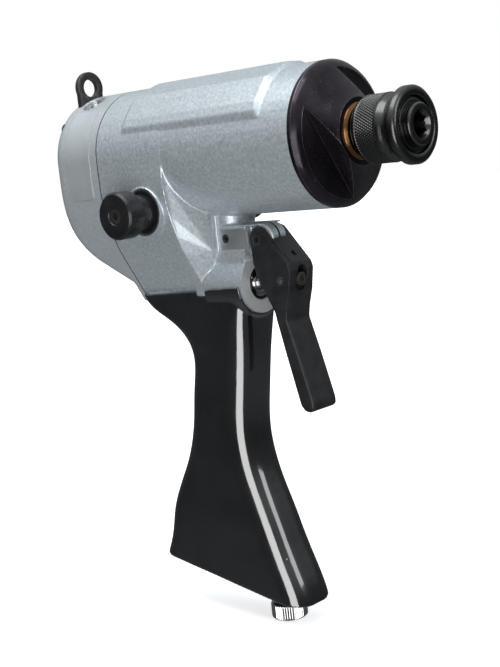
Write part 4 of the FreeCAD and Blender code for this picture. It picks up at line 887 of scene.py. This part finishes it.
def bevelled_pieces():
    edged("nose_cover", "nose_cover_turned", "housing", NOSE, 0.35, edge_material=NOSE_EDGE)
    edged("nose_bush", "nose_bush_turned", "housing", SHADED_BRONZE, 0.3)
    edged("lanyard_eye", "lanyard_eye_plate", "housing", OXIDE, 0.55)
    edged("output_anvil", "anvil_ground", "spindle", GUNMETAL, 0.25)
    edged("control_block", "control_block_plate", "housing", KNOB, 0.5)
    edged("cap_plug", "cap_plug_disc", "housing", STEEL, 0.3)
    edged("cap_screws", "cap_screw_set", "housing", OXIDE, 0.3)
    edged("knob_screws", "knob_screw_set", "reverser", OXIDE, 0.3)
    edged("trigger_pivot_pin", "pivot_pin_turned", "housing", OXIDE, 0.25)
    edged("trigger_cross_pin", "cross_pin_turned", "trigger", STEEL, 0.2)
    edged("adjusting_screw", "adjusting_screw_turned", "trigger", OXIDE, 0.2)
    edged("pad_set_screw", "pad_screw_turned", "housing", OXIDE, 0.2)
    edged("wiper_ring", "wiper_ring_turned", "housing", CHROME, 0.2)
    edged("valve_gland", "valve_gland_turned", "housing", KNOB, 0.2)
    edged("spool_bushes", "spool_bush_pair", "housing", KNOB, 0.2)
    edged("chuck_snap_rings", "chuck_ring_pair", "spindle", GUNMETAL, 0.2)


KEPT = {
    "cap_gasket": GASKET, "wear_plate": SHADED_BRONZE, "name_band": LABEL, "eye_pin": STEEL, "idler_shaft": STEEL,
    "shaft_seal": SEAL, "main_bearing": STEEL, "thrust_washer": SHADED_BRONZE, "valve_liner": STEEL,
    "throttle_spring": STEEL, "control_screws": OXIDE, "drive_gear": STEEL, "gear_key": STEEL,
    "cam_shaft": STEEL,
    "hammer": DARK_STEEL, "hammer_balls": CHROME, "hammer_spring": STEEL, "idler_gear": STEEL,
    "chuck_washer": GUNMETAL, "detent_ball": CHROME, "chuck_spring": STEEL, "reversing_spool": STEEL,
    "throttle_spool": STEEL, "flow_needle": STEEL,
}


def kept_pieces():
    for node, material in KEPT.items():
        mesh = frame["nodes"][node].data
        mesh.materials.clear()
        mesh.materials.append(material)


# ---------------------------------------------------------------- stage, lights and camera

def floor():
    n = Nodes("pale_floor")
    spread = n.noise(6, 2)
    tone = n.ramp(spread, [(0.3, (0.93, 0.93, 0.93)), (0.7, (0.96, 0.96, 0.96))])
    distance = n.node("VectorMath", operation="LENGTH")
    n.link(n.place, distance.inputs[0])
    glow = n.ramp(n.maths("MULTIPLY", distance.outputs["Value"], 0.5), [(0.10, 0.55), (0.8, 1.0)])
    seen = n.node("LightPath").outputs["Is Camera Ray"]
    n.set(Base_Color=n.mix(seen, (0.42, 0.42, 0.43), tone), Roughness=0.7)
    n.link(glow, n.surface.inputs["Emission Color"])
    n.link(seen, n.surface.inputs["Emission Strength"])
    level = cad_box[0][2] / MM - 0.3
    reach = 6000
    corners = [(-reach, -reach, level), (reach, -reach, level), (reach, reach, level), (-reach, reach, level)]
    obj = new_object("pale_floor_plane", corners, [(0, 1, 2, 3)], n.material)
    obj.visible_glossy = False
    obj.visible_shadow = False


def world():
    scene_world = bpy.data.worlds.new("studio")
    bpy.context.scene.world = scene_world
    scene_world.use_nodes = True
    tree = scene_world.node_tree
    tree.nodes.clear()
    out = tree.nodes.new("ShaderNodeOutputWorld")
    seen = tree.nodes.new("ShaderNodeBackground")
    seen.inputs["Color"].default_value = (1, 1, 1, 1)
    around = tree.nodes.new("ShaderNodeBackground")
    place = tree.nodes.new("ShaderNodeTexCoord")
    split = tree.nodes.new("ShaderNodeSeparateXYZ")
    tree.links.new(place.outputs["Generated"], split.inputs[0])
    scaled = tree.nodes.new("ShaderNodeMath")
    scaled.operation = "MULTIPLY_ADD"
    scaled.inputs[1].default_value = 0.5
    scaled.inputs[2].default_value = 0.5
    tree.links.new(split.outputs["Z"], scaled.inputs[0])
    band = tree.nodes.new("ShaderNodeValToRGB")
    ramp = band.color_ramp
    stops = [(0.0, 0.20), (0.40, 0.035), (0.55, 0.05), (0.72, 0.38), (1.0, 0.80)]
    while len(ramp.elements) < len(stops):
        ramp.elements.new(0.5)
    for element, (where, grey) in zip(ramp.elements, stops):
        element.position = where
        element.color = (grey * 0.93, grey * 1.0, grey * 1.04, 1)
    tree.links.new(scaled.outputs[0], band.inputs[0])
    tree.links.new(band.outputs[0], around.inputs[0])
    around.inputs[1].default_value = 1.25
    camera_ray = tree.nodes.new("ShaderNodeLightPath")
    mix = tree.nodes.new("ShaderNodeMixShader")
    tree.links.new(camera_ray.outputs["Is Camera Ray"], mix.inputs[0])
    tree.links.new(around.outputs[0], mix.inputs[1])
    tree.links.new(seen.outputs[0], mix.inputs[2])
    tree.links.new(mix.outputs[0], out.inputs[0])


def area(name, place, target, size, power, colour=(1, 1, 1)):
    light = bpy.data.lights.new(name, "AREA")
    light.shape = "RECTANGLE"
    light.size, light.size_y = size
    light.energy = power
    light.color = colour
    obj = bpy.data.objects.new(name, light)
    bpy.context.scene.collection.objects.link(obj)
    obj.location = place
    obj.rotation_euler = (Vector(target) - Vector(place)).to_track_quat("-Z", "Y").to_euler()


def lights():
    area("top_box", (-0.10, -0.30, 0.85), (-0.08, 0, 0), (1.0, 0.6), 6.4)
    area("grip_strip", (0.63, -0.96, -0.32), (-0.07, 0, -0.16), (0.72, 1.0), 9.5)
    area("front_fill", (1.1, 0.25, 0.35), (0, 0, 0), (0.5, 0.6), 2.4)


def camera():
    """Seen from the tool's right front, a little above the spindle."""
    lens = bpy.data.cameras.new("camera")
    lens.sensor_fit = "VERTICAL"
    lens.sensor_height = 36
    lens.lens = 66.30
    lens.clip_start = 0.01
    obj = bpy.data.objects.new("camera", lens)
    bpy.context.scene.collection.objects.link(obj)
    right, up = Vector((0.7319, 0.6728, -0.1082)), Vector((-0.0181, 0.1779, 0.9839))
    back = right.cross(up).normalized()
    up = back.cross(right.normalized())
    turn = Matrix((right.normalized(), up, back)).transposed().to_4x4()
    obj.matrix_world = Matrix.Translation((0.3957, -0.4957, -0.0062)) @ turn
    bpy.context.scene.camera = obj


main_housing()
rear_cap()
grip()
chuck_sleeve()
reversing_knobs()
flow_knob()
trigger()
bevelled_pieces()
kept_pieces()
floor()
world()
lights()
camera()
bpy.context.scene.view_settings.view_transform = "Standard"
